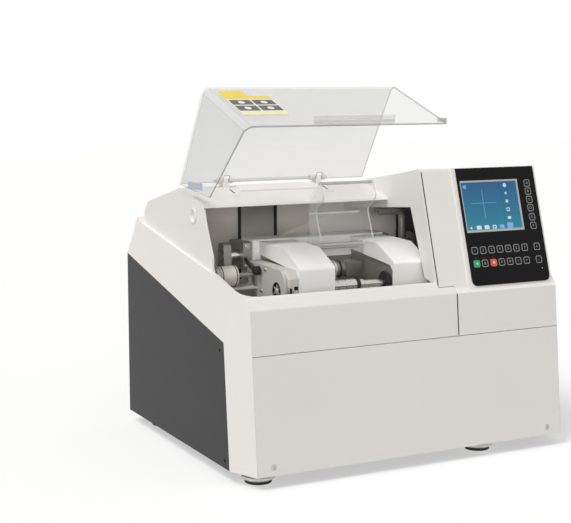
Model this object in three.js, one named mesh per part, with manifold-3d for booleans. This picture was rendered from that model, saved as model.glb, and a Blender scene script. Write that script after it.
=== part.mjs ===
// Automatic lens edger, a bench machine that grinds spectacle lenses to shape.
// Millimetres. X runs to the right as seen from the front, Y into the machine, Z up.
// Sizes are measured from the middle of the front bottom edge, on the table. The whole
// machine is then moved so that its origin lies under the middle of it, on the table.

import * as THREE from 'three';
import { mergeVertices } from 'three/addons/utils/BufferGeometryUtils.js';
import Module from 'manifold-3d';

const wasm = await Module();
wasm.setup();

const degree = Math.PI / 180;

// Clearances and wall thicknesses
const seamGap = 0.3;
const coverSeam = 1;
const runningGap = 0.3;
const overrun = 20;
const shellWall = 3;
const sheetWall = 2;

// Body: the tub with the leaning front, its tapered front corners and the shoulder
const bodyWidth = 610;
const bodyDepth = 481;
const footHeight = 20;
const halfWidth = bodyWidth / 2;
const cornerStripWidth = 21;
const halfFace = halfWidth - cornerStripWidth;
const cornerStripDepth = 54.5;
const frontLean = 5.5 * degree;
const seamHeight = 201;
const foldHeight = 268.5;
const foldRadius = 8;
const ledgeDepth = 35;
const ledgeHeight = 286;
const ledgeRadius = 5;
const kneeDepth = 130;
const kneeHeight = 310;
const shoulderRearInset = 50;
const shoulderRearDepth = bodyDepth - shoulderRearInset;
const shoulderRearHeight = 362;
const spurInset = 27;
const spurDepth = bodyDepth - spurInset;
const spurHeight = 371;
const spurFootInset = 17;
const spurFootDepth = bodyDepth - spurFootInset;
const spurFootHeight = 342;
const rearEdgeHeight = 305;
const shoulderSlant = 7 * degree;
const shoulderRise = 120;

// Dark side panels
const sidePanelKneeHeight = 215;

// Upper cabinet: left wall, sloping header over the mouth, and the roof behind it
const shoulderWidth = 15;
const cabinetHalfWidth = halfWidth - shoulderWidth;
const mouthFootDepth = 145;
const mouthFootHeight = 300;
const mouthKneeHeight = 335;
const headerFrontDepth = 185;
const headerFrontHeight = 412;
const ridgeDepth = 272;
const ridgeHeight = 435;
const roofBreakInset = 136;
const roofBreakDepth = bodyDepth - roofBreakInset;
const roofBreakHeight = 418;
const roofRearInset = 65;
const roofRearDepth = bodyDepth - roofRearInset;
const roofRearHeight = 401;
const roofRearRadius = 20;
const cabinetRearInset = 48;
const cabinetRearDepth = bodyDepth - cabinetRearInset;
const cabinetRearHeight = 384;
const mouthFrontDepth = 40;
const mouthCornerRadius = 26;

// Console on the right, with its flank wall beside the chamber
const flankLeft = 51;
const consoleInset = 8.5;
const consoleRight = cabinetHalfWidth - consoleInset;
const lowerSeamX = 85;
const upperSeamHeight = 279;
const consoleFootDepth = 31;
const consoleFootHeight = 276;
const consoleTilt = 17 * degree;
const consoleTopDepth = 89;
const consoleTopRadius = 5;
const consoleCrownDepth = 147;
const consoleCrownHeight = 455;
const consoleBackDepth = 243;
const consoleBackHeight = 440.5;
const windowSideSlope = 22 * degree;
const windowTopDepth = 112;
const windowTopHeight = 402;
const windowTopFall = 5 * degree;

// Black control panel, its screen and its two solid keys
const panelWidth = 157;
const panelHeight = 196;
const panelCornerRadius = 10;
const panelThickness = 1.2;
const panelRightMargin = 5.5;
const panelLeft = consoleRight - panelRightMargin - panelWidth;
const plateauRise = 2;
const plateauMargin = 7;
const plateauTopMargin = 1;
const screenWidth = 116;
const screenHeight = 87;
const screenLeft = 5;
const screenBottom = 88;
const screenDepth = 14;
const screenFlange = 5;
const screenFlangeThickness = 3;
const keySize = 12;
const keyRadius = 2.5;
const keyThickness = 2.2;
const keyStemRadius = 3;
const keyStemLength = 9;
const startKeyX = 13.8;
const stopKeyX = 47.3;
const keyRowHeight = 36.4;

// Clear hood, standing open
const hingeDepth = 272;
const hingeHeight = 444;
const hoodHeelDepth = 268;
const hoodHeelHeight = 443;
const hoodPeakDepth = 170;
const hoodPeakHeight = 600.5;
const hoodPeakRadius = 14;
const hoodLipDepth = 8.5;
const hoodLipHeight = 543;
const hoodSkirtDepth = 141;
const hoodSkirtHeight = 429;
const hoodLeft = 297;
const hoodRight = 49;
const hoodWall = 3;
const hingeRodRadius = 2.5;
const hingeKnuckleRadius = 5;
const hingeKnuckleWidth = 9;
const hingeLeftX = -211;
const hingeRightX = -37;
const hingeBracketWidth = 10;
const hingeRodOverhang = 14;
const bracketFrontReach = 8;
const bracketRearReach = 17;
const bracketThickness = 3;
const hoodNotch = 7;

// Feet
const footRadius = 26;
const footPadHeight = 6;
const footPadRadius = 21;
const footRimHeight = 5;
const footStudRadius = 4;
const footStudLength = 14;
const frontFootDepth = 47;
const rearFootInset = 51;
const rearFootDepth = bodyDepth - rearFootInset;
const leftFootInset = 45;
const leftFootX = -halfWidth + leftFootInset;
const rightFootInset = 159;
const rightFootX = halfWidth - rightFootInset;

// Base pan and rear panel
const panRim = 24;
const ventCount = 9;
const ventWidth = 4;
const ventHeight = 60;
const ventPitch = 12;
const ventInset = 90;
const ventX = -halfWidth + ventInset;
const ventZ = 150;
const inletWidth = 48;
const inletHeight = 59;
const inletDepth = 30;
const inletFlange = 4;
const inletFlangeThickness = 2.5;
const inletInset = 90;
const inletX = halfWidth - inletInset;
const inletZ = 78;
const rearReach = 12;

// Grinding chamber casting
const chamberFloor = 207;
const chamberFloorThickness = 5;
const chamberWall = 4;
const chamberRight = 160;
const chamberFront = 50;
const chamberRear = 330;
const chamberRimHeight = 268;
const chamberRearHeight = 405;
const chamberLegSize = 24;
const chamberLegInset = 6;
const rearLegRightX = -2;
const ribWidth = 4;
const ribLeftX = -159;
const ribRightX = -90;
const ribRise = 1.5;
const ribFootHeight = 340;
const wellClearance = 13;
const wellSideClearance = 9;

// Grinding wheels on their spindle, belt drive and motor
const wheelRadius = 60;
const wheelDepth = 140;
const wheelHeight = 180;
const wheelLeftX = -87;
const roughingWidth = 24;
const bevelWidth = 20;
const polishingWidth = 20;
const bevelGroove = 1.5;
const spindleRadius = 10;
const spindleNutRadius = 17;
const spindleNutWidth = 7;
const housingRadius = 20;
const housingLeftX = 12;
const housingLength = 215;
const pedestalWidth = 110;
const pedestalDepth = 44;
const pulleyWidth = 18;
const pulleyFlange = 2.5;
const spindlePulleyRadius = 26;
const motorPulleyRadius = 32;
const pulleyGap = 5;
const beltWidth = 12;
const beltThickness = 3;
const motorRadius = 48;
const motorLength = 170;
const motorDepth = 330;
const motorHeight = 95;
const motorShaftRadius = 8;
const motorFootWidth = 90;
const motorFootLength = 120;

// Carriage pivot, slider and its posts
const pivotDepth = 245;
const pivotHeight = 322;
const pivotRadius = 10;
const postWidth = 14;
const postDepth = 44;
const postCap = 22;
const slideLeft = 16;
const stopClearance = 2;
const postRightX = 134;
const collarWidth = 15;
const collarDepth = 54;
const collarHeight = 46;
const sleeveWall = 4;
const driveRodRadius = 4;
const driveRodReachBack = 27;
const driveRodDepth = pivotDepth + driveRodReachBack;
const driveRodHeight = 306;
const driveRodReach = 24;
const actuatorSize = 42;
const actuatorLength = 68;

// Carriage: cast frame with two arms, and its white moulded cover
const beamLeft = -183;
const beamRight = 66;
const beamFront = 222;
const beamRear = 268;
const beamTop = 349;
const beamRadius = 5;
const beamSeamHeight = 314;
const beamBottom = 296;
const leftArmLeft = -172;
const leftArmRight = -108;
const rightArmLeft = 0;
const armFront = 80;
const armBrowHeight = 318;
const armBrowRadius = 7;
const armSlopeDepth = 132;
const armSlopeHeight = 343;
const armRearHeight = 346;
const armSeamRearHeight = 325;
const armSeamFrontDepth = 92;
const armSeamFrontHeight = 312;
const armSeamToeHeight = 303;
const apronBottom = 250;
const noseRadius = 33;

// Lens shafts, chucks and their drive
const lensDepth = 105;
const lensHeight = 282;
const chuckShaftRadius = 9;
const chuckRadius = 10.5;
const chuckEndX = -57;
const padThickness = 5;
const padRadius = 11.5;
const clampRadius = 6.8;
const clampFootRadius = 9;
const clampFootLength = 8;
const quillRadius = 15;
const quillLeftX = 8;
const quillRightX = 60;
const clampTravel = 30;
const driveHousingLeft = -195;
const driveHousingWall = 3;
const driveHousingRadius = 36;
const driveHousingTailRadius = 21;
const driveHousingNeckRadius = 21;
const hubOpeningRadius = 14;
const lensMotorDepth = 198;
const lensMotorHeight = 296;
const lensMotorRadius = 17;
const lensMotorLength = 30;
const lensMotorGap = 32;
const lensMotorShaftRadius = 4;
const lensMotorEndRadius = 13;
const lensMotorEndLength = 5;
const lensPulleyRadius = 24;
const lensMotorPulleyRadius = 9;
const lensPulleyWidth = 10;
const lensPulleyFlange = 1.5;
const lensBeltThickness = 1.5;
const lensBeltWidth = 4.4;
const shelfThickness = 4;

// Lens clamping motor between the arms
const clampMotorRadius = 13.5;
const clampMotorDepth = 166;
const clampMotorHeight = 300;
const clampMotorLeft = -96;
const clampMotorLength = 50;
const clampGearboxLength = 30;
const clampGearboxDepth = 28;
const clampGearboxHeight = 24;
const clampBracketHeight = 9;

// Clear splash guard over the lens, standing up
const guardHingeDepth = 180;
const guardHingeHeight = 338;
const guardRodRadius = 2.5;
const guardMargin = 4;
const guardWall = 2.5;
const guardLugRadius = 6;
const guardLugDepth = 160;
const guardLugHeight = 372;
const guardHeelDepth = 171;
const guardHeelHeight = 346;
const guardBellyDepth = 181;
const guardBellyHeight = 392;
const guardShoulderDepth = 175;
const guardShoulderHeight = 419;
const guardTipDepth = 140;
const guardTipHeight = 446.5;
const guardBrowDepth = 126;
const guardBrowHeight = 420;
const guardNotchDepth = 155;
const guardNotchHeight = 399;
const guardToeDepth = 136;
const guardToeHeight = 352;
const guardBend = 9;

// Feeler lever and knob on the drive housing
const leverThickness = 3;
const leverGap = 1.7;
const leverPivotDepth = 186;
const leverPivotHeight = 306;
const leverTailDepth = 217;
const leverTailHeight = 319;
const leverTipDepth = 185;
const leverTipHeight = 284;
const leverRadius = 5;
const leverEndRadius = 4;
const leverPinRadius = 3;
const knobDepth = 170;
const knobHeight = 306;
const knobRadius = 7.5;
const knobLength = 12;
const knobStemRadius = 3;

// Pipes
const coolantRadius = 6;
const coolantX = 146;
const coolantReachBack = 43;
const coolantDepth = pivotDepth + coolantReachBack;
const coolantTop = 377;
const coolantTipX = 95;
const coolantPortHeight = 165;
const coolantBore = 4;
const drainRadius = 11;
const drainBore = 8.5;
const drainDepth = 140;
const drainPortHeight = 60;
const coolantBend = 14;
const drainBend = 26;

// Power supply
const supplyWidth = 150;
const supplyDepth = 110;
const supplyHeight = 62;
const supplyInset = 65;
const supplyX = -halfWidth + supplyInset;
const supplyFront = 350;

// Round cover plug, screws and switch
const plugRadius = 13;
const plugStemRadius = 10;
const plugStemLength = 5;
const plugRise = 1.5;
const plugDepth = 219;
const plugHeight = 394;
const screwHeadRadius = 5;
const screwShankRadius = 2;
const screwShankLength = 8;
const frontScrewInset = 28;
const frontScrewHeight = 33;
const sideScrewInset = 15;
const sideScrewLow = 32;
const sideScrewHigh = 201;
const rockerWidth = 20;
const rockerHeight = 13;
const rockerRadius = 9.5;
const rockerRise = 5;

// Counts of facets
const arcSteps = 4;
const rodSides = 20;
const fineSides = 28;
const smallSides = 12;

// Materials
const moulded = { roughness: 0.5, metalness: 0 };
const whiteShell = new THREE.MeshStandardMaterial({ color: 0xdedad5, ...moulded });
const darkSheet = new THREE.MeshStandardMaterial({ color: 0x48494a, roughness: 0.6, metalness: 0.1 });
const blackGloss = new THREE.MeshStandardMaterial({ color: 0x08090b, roughness: 0.2, metalness: 0 });
const screenGlass = new THREE.MeshStandardMaterial({ color: 0x2f6f98, roughness: 0.15, metalness: 0 });
const greenKey = new THREE.MeshStandardMaterial({ color: 0x2fae6b, ...moulded });
const redKey = new THREE.MeshStandardMaterial({ color: 0xe4523f, ...moulded });
const clearSheet = new THREE.MeshStandardMaterial({
  color: 0xe6eaec, roughness: 0.1, metalness: 0, transparent: true, opacity: 0.3,
});
const paintedSteel = new THREE.MeshStandardMaterial({ color: 0x9a918c, roughness: 0.55, metalness: 0.2 });
const castAluminium = new THREE.MeshStandardMaterial({ color: 0x9d9790, roughness: 0.55, metalness: 0.6 });
const brightSteel = new THREE.MeshStandardMaterial({ color: 0xcfcfcc, roughness: 0.2, metalness: 1 });
const creamPaint = new THREE.MeshStandardMaterial({ color: 0xc9c6b4, ...moulded });
const blackRubber = new THREE.MeshStandardMaterial({ color: 0x161514, roughness: 0.85, metalness: 0 });
const greyKnurl = new THREE.MeshStandardMaterial({ color: 0xb9b6b0, roughness: 0.5, metalness: 0.5 });
const bronzeBond = new THREE.MeshStandardMaterial({ color: 0x8d7b5e, roughness: 0.7, metalness: 0.5 });

// The machine and its moving groups
const machine = new THREE.Group();
machine.position.y = -(bodyDepth + rearReach) / 2;
const carriage = new THREE.Group();
machine.add(carriage);

// Turns a three.js geometry into a closed solid, facing outwards
function solidOf(geometry) {
  const bare = geometry.clone();
  bare.deleteAttribute('normal');
  bare.deleteAttribute('uv');
  const merged = mergeVertices(bare, 1e-4);
  const vertProperties = new Float32Array(merged.attributes.position.array);
  const triVerts = new Uint32Array(merged.index.array);
  const corner = (index) => new THREE.Vector3().fromArray(vertProperties, index * 3);
  let volume = 0;
  for (let i = 0; i < triVerts.length; i += 3) {
    const [a, b, c] = [0, 1, 2].map((step) => corner(triVerts[i + step]));
    volume += a.dot(b.cross(c));
  }
  if (volume < 0) {
    for (let i = 0; i < triVerts.length; i += 3) {
      [triVerts[i], triVerts[i + 1]] = [triVerts[i + 1], triVerts[i]];
    }
  }
  return new wasm.Manifold(new wasm.Mesh({ numProp: 3, vertProperties, triVerts }));
}

function geometryOf(solid) {
  const mesh = solid.getMesh();
  const geometry = new THREE.BufferGeometry();
  geometry.setAttribute('position', new THREE.BufferAttribute(new Float32Array(mesh.vertProperties), 3));
  geometry.setIndex(new THREE.BufferAttribute(new Uint32Array(mesh.triVerts), 1));
  geometry.computeVertexNormals();
  return geometry;
}

function piece(name, solid, material, group = machine) {
  const mesh = new THREE.Mesh(geometryOf(solid), material);
  mesh.name = name;
  group.add(mesh);
  return mesh;
}

// Adds the arcs to an outline whose corners are given as [across, up, radius]
function outline(corners) {
  const count = corners.length;
  return corners.flatMap(([x, y, radius = 0], i) => {
    const here = new THREE.Vector2(x, y);
    if (radius === 0) return [here];
    const toLast = new THREE.Vector2(...corners[(i + count - 1) % count]).sub(here).normalize();
    const toNext = new THREE.Vector2(...corners[(i + 1) % count]).sub(here).normalize();
    const half = Math.acos(THREE.MathUtils.clamp(toLast.dot(toNext), -1, 1)) / 2;
    const bisector = toLast.clone().add(toNext).normalize();
    const centre = here.clone().addScaledVector(bisector, radius / Math.sin(half));
    const run = radius / Math.tan(half);
    const start = here.clone().addScaledVector(toLast, run).sub(centre);
    const end = here.clone().addScaledVector(toNext, run).sub(centre);
    const turn = Math.atan2(start.cross(end), start.dot(end));
    const arc = [];
    for (let step = 0; step <= arcSteps; step += 1) {
      arc.push(start.clone().rotateAround(new THREE.Vector2(), (turn * step) / arcSteps).add(centre));
    }
    return arc;
  });
}

// Moves every side of an outline inwards by a distance, or outwards where it is negative
function inset(points, distance) {
  const side = THREE.ShapeUtils.isClockWise(points) ? 1 : -1;
  const count = points.length;
  const lines = points.map((point, i) => {
    const along = points[(i + 1) % count].clone().sub(point).normalize();
    const inward = new THREE.Vector2(along.y, -along.x).multiplyScalar(side);
    return { at: point.clone().addScaledVector(inward, distance), along };
  });
  return lines.map(({ at, along }, i) => {
    const last = lines[(i + count - 1) % count];
    const across = last.along.cross(along);
    if (Math.abs(across) < 1e-6) return at;
    const reach = at.clone().sub(last.at).cross(along) / across;
    return last.at.clone().addScaledVector(last.along, reach);
  });
}

function extruded(points, length, holes = []) {
  const shape = new THREE.Shape(points);
  shape.holes = holes.map((hole) => new THREE.Path(hole));
  return new THREE.ExtrudeGeometry(shape, { depth: length, bevelEnabled: false });
}

// A prism along X whose outline is given in depth and height
function prismX(points, left, right, holes) {
  const geometry = extruded(points, right - left, holes);
  geometry.applyMatrix4(new THREE.Matrix4().set(0, 0, 1, left, 1, 0, 0, 0, 0, 1, 0, 0, 0, 0, 0, 1));
  return solidOf(geometry);
}

// A prism along Y whose outline is given in width and height
function prismY(points, front, rear, holes) {
  const geometry = extruded(points, rear - front, holes);
  geometry.applyMatrix4(new THREE.Matrix4().set(1, 0, 0, 0, 0, 0, -1, rear, 0, 1, 0, 0, 0, 0, 0, 1));
  return solidOf(geometry);
}

// A prism along Z whose outline is given in width and depth
function prismZ(points, bottom, top, holes) {
  return solidOf(extruded(points, top - bottom, holes).translate(0, 0, bottom));
}

function box(left, right, front, rear, bottom, top) {
  const geometry = new THREE.BoxGeometry(right - left, rear - front, top - bottom);
  return solidOf(geometry.translate((left + right) / 2, (front + rear) / 2, (bottom + top) / 2));
}

function circle(across, up, radius, sides = rodSides) {
  const points = [];
  for (let step = 0; step < sides; step += 1) {
    const turn = (step * 2 * Math.PI) / sides;
    points.push(new THREE.Vector2(across + radius * Math.cos(turn), up + radius * Math.sin(turn)));
  }
  return points;
}

function rectangle(left, right, bottom, top, radius = 0) {
  return outline([
    [left, bottom, radius],
    [right, bottom, radius],
    [right, top, radius],
    [left, top, radius],
  ]);
}

function rodX(depth, height, radius, left, right, sides = rodSides) {
  return prismX(circle(depth, height, radius, sides), left, right);
}

function rodY(x, height, radius, front, rear, sides = rodSides) {
  return prismY(circle(x, height, radius, sides), front, rear);
}

function rodZ(x, depth, radius, bottom, top, sides = rodSides) {
  return prismZ(circle(x, depth, radius, sides), bottom, top);
}

// The outline of a band or plate wrapped round two circles, given as [across, up, radius]
function wrapped(first, second, sides = rodSides) {
  const from = new THREE.Vector2(first[0], first[1]);
  const to = new THREE.Vector2(second[0], second[1]);
  const line = to.clone().sub(from);
  const lean = Math.asin((first[2] - second[2]) / line.length());
  const start = line.angle() + Math.PI / 2 - lean;
  const half = sides / 2;
  const points = [];
  for (let step = 0; step <= half; step += 1) {
    const turn = start + ((Math.PI + 2 * lean) * step) / half;
    points.push(new THREE.Vector2(first[2], 0).rotateAround(new THREE.Vector2(), turn).add(from));
  }
  for (let step = 0; step <= half; step += 1) {
    const turn = start + Math.PI + 2 * lean + ((Math.PI - 2 * lean) * step) / half;
    points.push(new THREE.Vector2(second[2], 0).rotateAround(new THREE.Vector2(), turn).add(to));
  }
  return points;
}

const frontAt = (height) => (height - footHeight) * Math.tan(frontLean);

// Shears a solid with the front, so that upright walls lean back as the front does
function leaning(solid) {
  const slope = Math.tan(frontLean);
  const shear = new THREE.Matrix4().set(1, 0, 0, 0, 0, 1, slope, -slope * footHeight, 0, 0, 1, 0, 0, 0, 0, 1);
  return solidOf(geometryOf(solid).applyMatrix4(shear));
}

const bodyTop = hoodPeakHeight;
const belowBody = footHeight - overrun;

// The body's outline from the side. The ledge under the mouth ends at the console.
function bodyProfile(bottom, ledge) {
  return outline([
    [frontAt(bottom), bottom],
    [frontAt(foldHeight), foldHeight, ledge ? foldRadius : 0],
    ledge ? [ledgeDepth, ledgeHeight, ledgeRadius] : [consoleFootDepth, consoleFootHeight],
    [kneeDepth, kneeHeight],
    [shoulderRearDepth, shoulderRearHeight],
    [spurDepth, spurHeight],
    [spurFootDepth, spurFootHeight],
    [bodyDepth, rearEdgeHeight],
    [bodyDepth, bottom],
  ]);
}

// The body's outline from above, far enough back for the profile to set its rear
function bodyPlan() {
  return outline([
    [-halfFace, 0],
    [halfFace, 0],
    [halfWidth, cornerStripDepth],
    [halfWidth, bodyDepth + overrun],
    [-halfWidth, bodyDepth + overrun],
    [-halfWidth, cornerStripDepth],
  ]);
}

const sidePanelSlope = (rearEdgeHeight - sidePanelKneeHeight)
  / (bodyDepth - cornerStripDepth - frontAt(sidePanelKneeHeight));

// The slanted outer face of one shoulder, as a wedge to cut away
function shoulderWedge(side, wall) {
  const foot = halfWidth - wall;
  const tilt = Math.tan(shoulderSlant) * shoulderRise;
  const points = [
    [foot, 0],
    [foot - tilt, shoulderRise],
    [halfWidth + overrun, shoulderRise],
    [halfWidth + overrun, 0],
  ].map(([x, z]) => new THREE.Vector2(side * x, z));
  const kneeAt = cornerStripDepth + frontAt(sidePanelKneeHeight);
  const wedge = geometryOf(prismY(points, 0, bodyDepth + overrun));
  const rise = sidePanelKneeHeight - kneeAt * sidePanelSlope;
  const shear = new THREE.Matrix4().set(1, 0, 0, 0, 0, 1, 0, 0, 0, sidePanelSlope, 1, rise, 0, 0, 0, 1);
  return solidOf(wedge.applyMatrix4(shear));
}

function tub(wall) {
  const bottom = wall > 0 ? belowBody : footHeight;
  const side = prismX(inset(bodyProfile(bottom, true), wall), -halfWidth, lowerSeamX - wall)
    .add(prismX(inset(bodyProfile(bottom, false), wall), lowerSeamX - wall, halfWidth));
  const plan = leaning(prismZ(inset(bodyPlan(), wall), bottom, bodyTop));
  const wedges = shoulderWedge(-1, wall).add(shoulderWedge(1, wall));
  return side.intersect(plan).subtract(wedges);
}

const roof = [
  [ridgeDepth, ridgeHeight],
  [roofBreakDepth, roofBreakHeight],
  [roofRearDepth, roofRearHeight, roofRearRadius],
  [cabinetRearDepth, cabinetRearHeight],
];

function cabinetProfile() {
  return outline([
    [mouthFootDepth, mouthFootHeight],
    [mouthFootDepth, mouthKneeHeight],
    [headerFrontDepth, headerFrontHeight],
    ...roof,
    [shoulderRearDepth, mouthFootHeight],
  ]);
}

// The hollow behind the mouth, open to the front below the header
function cabinetHollow() {
  const headerSlope = (ridgeHeight - headerFrontHeight) / (ridgeDepth - headerFrontDepth);
  const drop = shellWall * Math.hypot(1, headerSlope);
  const hollow = outline([
    [mouthFrontDepth, chamberRimHeight - overrun],
    [mouthFrontDepth, headerFrontHeight - drop - overrun],
    [headerFrontDepth, headerFrontHeight - drop],
    [ridgeDepth, ridgeHeight - drop],
    [roofBreakDepth, roofBreakHeight - drop],
    [roofRearDepth, roofRearHeight - drop, roofRearRadius],
    [cabinetRearDepth - shellWall, cabinetRearHeight - shellWall],
    [shoulderRearDepth - shellWall, chamberRimHeight - overrun],
  ]);
  const plan = outline([
    [-cabinetHalfWidth + shellWall, mouthFrontDepth, mouthCornerRadius],
    [flankLeft, mouthFrontDepth],
    [flankLeft, bodyDepth],
    [-cabinetHalfWidth + shellWall, bodyDepth],
  ]);
  return prismX(hollow, -cabinetHalfWidth + shellWall, flankLeft)
    .intersect(prismZ(plan, belowBody, bodyTop));
}

const consoleTopHeight = consoleFootHeight + (consoleTopDepth - consoleFootDepth) / Math.tan(consoleTilt);
const consoleRoot = chamberRimHeight + seamGap;

function consoleProfile(bottom) {
  return outline([
    [consoleFootDepth + (bottom - consoleFootHeight) * Math.tan(consoleTilt), bottom],
    [consoleTopDepth, consoleTopHeight, consoleTopRadius],
    [consoleCrownDepth, consoleCrownHeight],
    [consoleBackDepth, consoleBackHeight],
    ...roof.slice(1),
    [shoulderRearDepth, bottom],
  ]);
}

const flankRight = flankLeft + shellWall;

const windowTopAt = (depth) => windowTopHeight - (depth - windowTopDepth) * Math.tan(windowTopFall);

function flankWindow() {
  const rise = windowTopHeight - upperSeamHeight;
  const foot = windowTopDepth - rise * Math.tan(windowSideSlope);
  const rear = chamberRear + chamberWall + shellWall;
  return prismX(outline([
    [foot, chamberRimHeight - overrun],
    [foot, upperSeamHeight],
    [windowTopDepth, windowTopHeight],
    [rear, windowTopAt(rear)],
    [rear, chamberRimHeight - overrun],
  ]), flankLeft - shellWall, flankRight + shellWall);
}

// Front panel: the leaning lower front, from corner to corner
function frontPanel(gap) {
  const rear = shellWall + gap;
  const edge = halfFace - seamGap + gap;
  const plan = rectangle(-edge, edge, -gap, rear);
  const top = gap > 0 ? seamHeight : seamHeight - coverSeam;
  return leaning(prismZ(plan, footHeight - gap, top));
}

// Outline of the flat dark panel on each side
function sidePanelProfile() {
  return outline([
    [cornerStripDepth + frontAt(footHeight), footHeight],
    [cornerStripDepth + frontAt(sidePanelKneeHeight), sidePanelKneeHeight],
    [bodyDepth, rearEdgeHeight],
    [bodyDepth, footHeight],
  ]);
}

function casing() {
  const cabinet = prismX(cabinetProfile(), -cabinetHalfWidth, flankRight);
  const consoleBlock = prismX(consoleProfile(consoleRoot), flankLeft, consoleRight);
  const outer = tub(0).add(cabinet).add(consoleBlock);
  const consoleHollow = prismX(
    inset(consoleProfile(consoleRoot - overrun), shellWall),
    flankRight,
    consoleRight - shellWall,
  );
  const hollow = tub(shellWall).add(cabinetHollow()).add(consoleHollow).add(flankWindow());
  const sideOpening = inset(sidePanelProfile(), -seamGap);
  const sides = prismX(sideOpening, -halfWidth - overrun, -halfWidth + shellWall + seamGap)
    .add(prismX(sideOpening, halfWidth - shellWall - seamGap, halfWidth + overrun));
  const rearOpening = box(
    -halfWidth, halfWidth,
    bodyDepth - shellWall - seamGap, bodyDepth + overrun,
    belowBody, rearEdgeHeight,
  );
  return outer.subtract(hollow).subtract(frontPanel(seamGap)).subtract(sides).subtract(rearOpening);
}

// The share of the casing to the left of the seam, or to the right of it
function casingSide(left) {
  const gap = left ? 0 : coverSeam;
  const edge = left ? -halfWidth : halfWidth;
  const span = (from) => (left ? [edge, from] : [from + gap, edge]);
  const upper = box(...span(flankRight), 0, bodyDepth, upperSeamHeight + gap, bodyTop);
  const lowerTop = left ? upperSeamHeight : upperSeamHeight + gap;
  const lower = box(...span(lowerSeamX), 0, bodyDepth, belowBody, lowerTop);
  return upper.add(lower);
}

// Control panel group, which leans back with the console's front
const panelGroup = new THREE.Group();
panelGroup.position.set(panelLeft, consoleFootDepth, consoleFootHeight);
panelGroup.rotation.x = -consoleTilt;
machine.add(panelGroup);

function tilted(solid) {
  panelGroup.updateMatrix();
  return solidOf(geometryOf(solid).applyMatrix4(panelGroup.matrix));
}

const screenHole = { left: screenLeft - seamGap, right: screenLeft + screenWidth + seamGap };
const screenSpan = [screenBottom - seamGap, screenBottom + screenHeight + seamGap];
const screenFlangeFront = shellWall + seamGap;
const keys = [
  { name: 'start_key', x: startKeyX, material: greenKey },
  { name: 'stop_key', x: stopKeyX, material: redKey },
];

function consoleCuts() {
  const front = -plateauRise - overrun;
  const rear = shellWall + overrun;
  let cut = prismY(rectangle(screenHole.left, screenHole.right, ...screenSpan), front, rear);
  keys.forEach(({ x }) => {
    cut = cut.add(rodY(x, keyRowHeight, keyStemRadius + runningGap, front, rear, smallSides));
  });
  return tilted(cut);
}

function plateau() {
  const right = consoleRight - panelLeft - plateauMargin / 2;
  return tilted(prismY(rectangle(-plateauMargin, right, -plateauMargin / 2, panelHeight + plateauTopMargin),
    -plateauRise, shellWall / 2));
}

const whole = casing();
const plugHole = rodX(plugDepth, plugHeight, plugStemRadius + seamGap,
  -cabinetHalfWidth - overrun, -cabinetHalfWidth + overrun);
piece('main_cover', whole.intersect(casingSide(true)).subtract(plugHole), whiteShell);
piece('console_cover', whole.intersect(casingSide(false)).add(plateau()).subtract(consoleCuts()), whiteShell);

// Round plug in the cabinet's left wall
function plug() {
  const cap = rodX(plugDepth, plugHeight, plugRadius, -cabinetHalfWidth - seamGap - plugRise,
    -cabinetHalfWidth - seamGap);
  const stem = rodX(plugDepth, plugHeight, plugStemRadius, -cabinetHalfWidth - seamGap - plugRise / 2,
    -cabinetHalfWidth + plugStemLength);
  return cap.add(stem);
}
piece('cover_plug', plug(), whiteShell);

// A turned solid about the Y axis, its profile given as [radius, height] from axis to axis
function turned(corners, sides) {
  const profile = corners.map(([radius, height]) => new THREE.Vector2(radius, height));
  return solidOf(new THREE.LatheGeometry(profile, sides));
}

// Countersunk screws, flush with the face that they hold. Play widens one into its hole.
function sunkScrew(play) {
  return turned([
    [0, -screwShankLength],
    [screwShankRadius + play, -screwShankLength],
    [screwShankRadius + play, -sheetWall],
    [screwHeadRadius + play, 0],
    [0, 0],
  ], smallSides);
}

function screwHole(mesh) {
  mesh.updateMatrix();
  const mouth = turned([
    [0, -seamGap],
    [screwHeadRadius + seamGap, -seamGap],
    [screwHeadRadius + seamGap, screwHeadRadius],
    [0, screwHeadRadius],
  ], smallSides);
  return solidOf(geometryOf(sunkScrew(seamGap).add(mouth)).applyMatrix4(mesh.matrix));
}

const frontScrewX = halfFace - frontScrewInset;
const frontScrews = [
  { name: 'front_screw_left', x: -frontScrewX },
  { name: 'front_screw_right', x: frontScrewX },
];
const frontHoles = frontScrews.map(({ name, x }) => {
  const mesh = piece(name, sunkScrew(0), brightSteel);
  mesh.position.set(x, frontAt(frontScrewHeight), frontScrewHeight);
  mesh.rotation.set(Math.PI - frontLean, 0, 0);
  return screwHole(mesh);
});
piece('front_panel', frontHoles.reduce((panel, hole) => panel.subtract(hole), frontPanel(0)), whiteShell);

const sideScrews = [
  { name: 'side_screw_lower', height: sideScrewLow },
  { name: 'side_screw_upper', height: sideScrewHigh },
];
const sideHoles = sideScrews.map(({ name, height }) => {
  const mesh = piece(name, sunkScrew(0), brightSteel);
  mesh.position.set(-halfWidth, cornerStripDepth + frontAt(height) + sideScrewInset, height);
  mesh.rotation.set(0, 0, Math.PI / 2);
  return screwHole(mesh);
});

const leftPanel = prismX(sidePanelProfile(), -halfWidth, -halfWidth + sheetWall);
piece('left_side_panel', sideHoles.reduce((panel, hole) => panel.subtract(hole), leftPanel), darkSheet);
piece('right_side_panel', prismX(sidePanelProfile(), halfWidth - sheetWall, halfWidth), darkSheet);

// Base pan: the floor of the body, with a rim all round
const panInset = shellWall + seamGap;
const panRear = bodyDepth - sheetWall - seamGap;
function panBlock(wall, bottom, top) {
  const plan = leaning(prismZ(inset(bodyPlan(), panInset + wall), bottom, top));
  return plan.intersect(box(-halfWidth, halfWidth, 0, panRear - wall, bottom, top));
}

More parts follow.
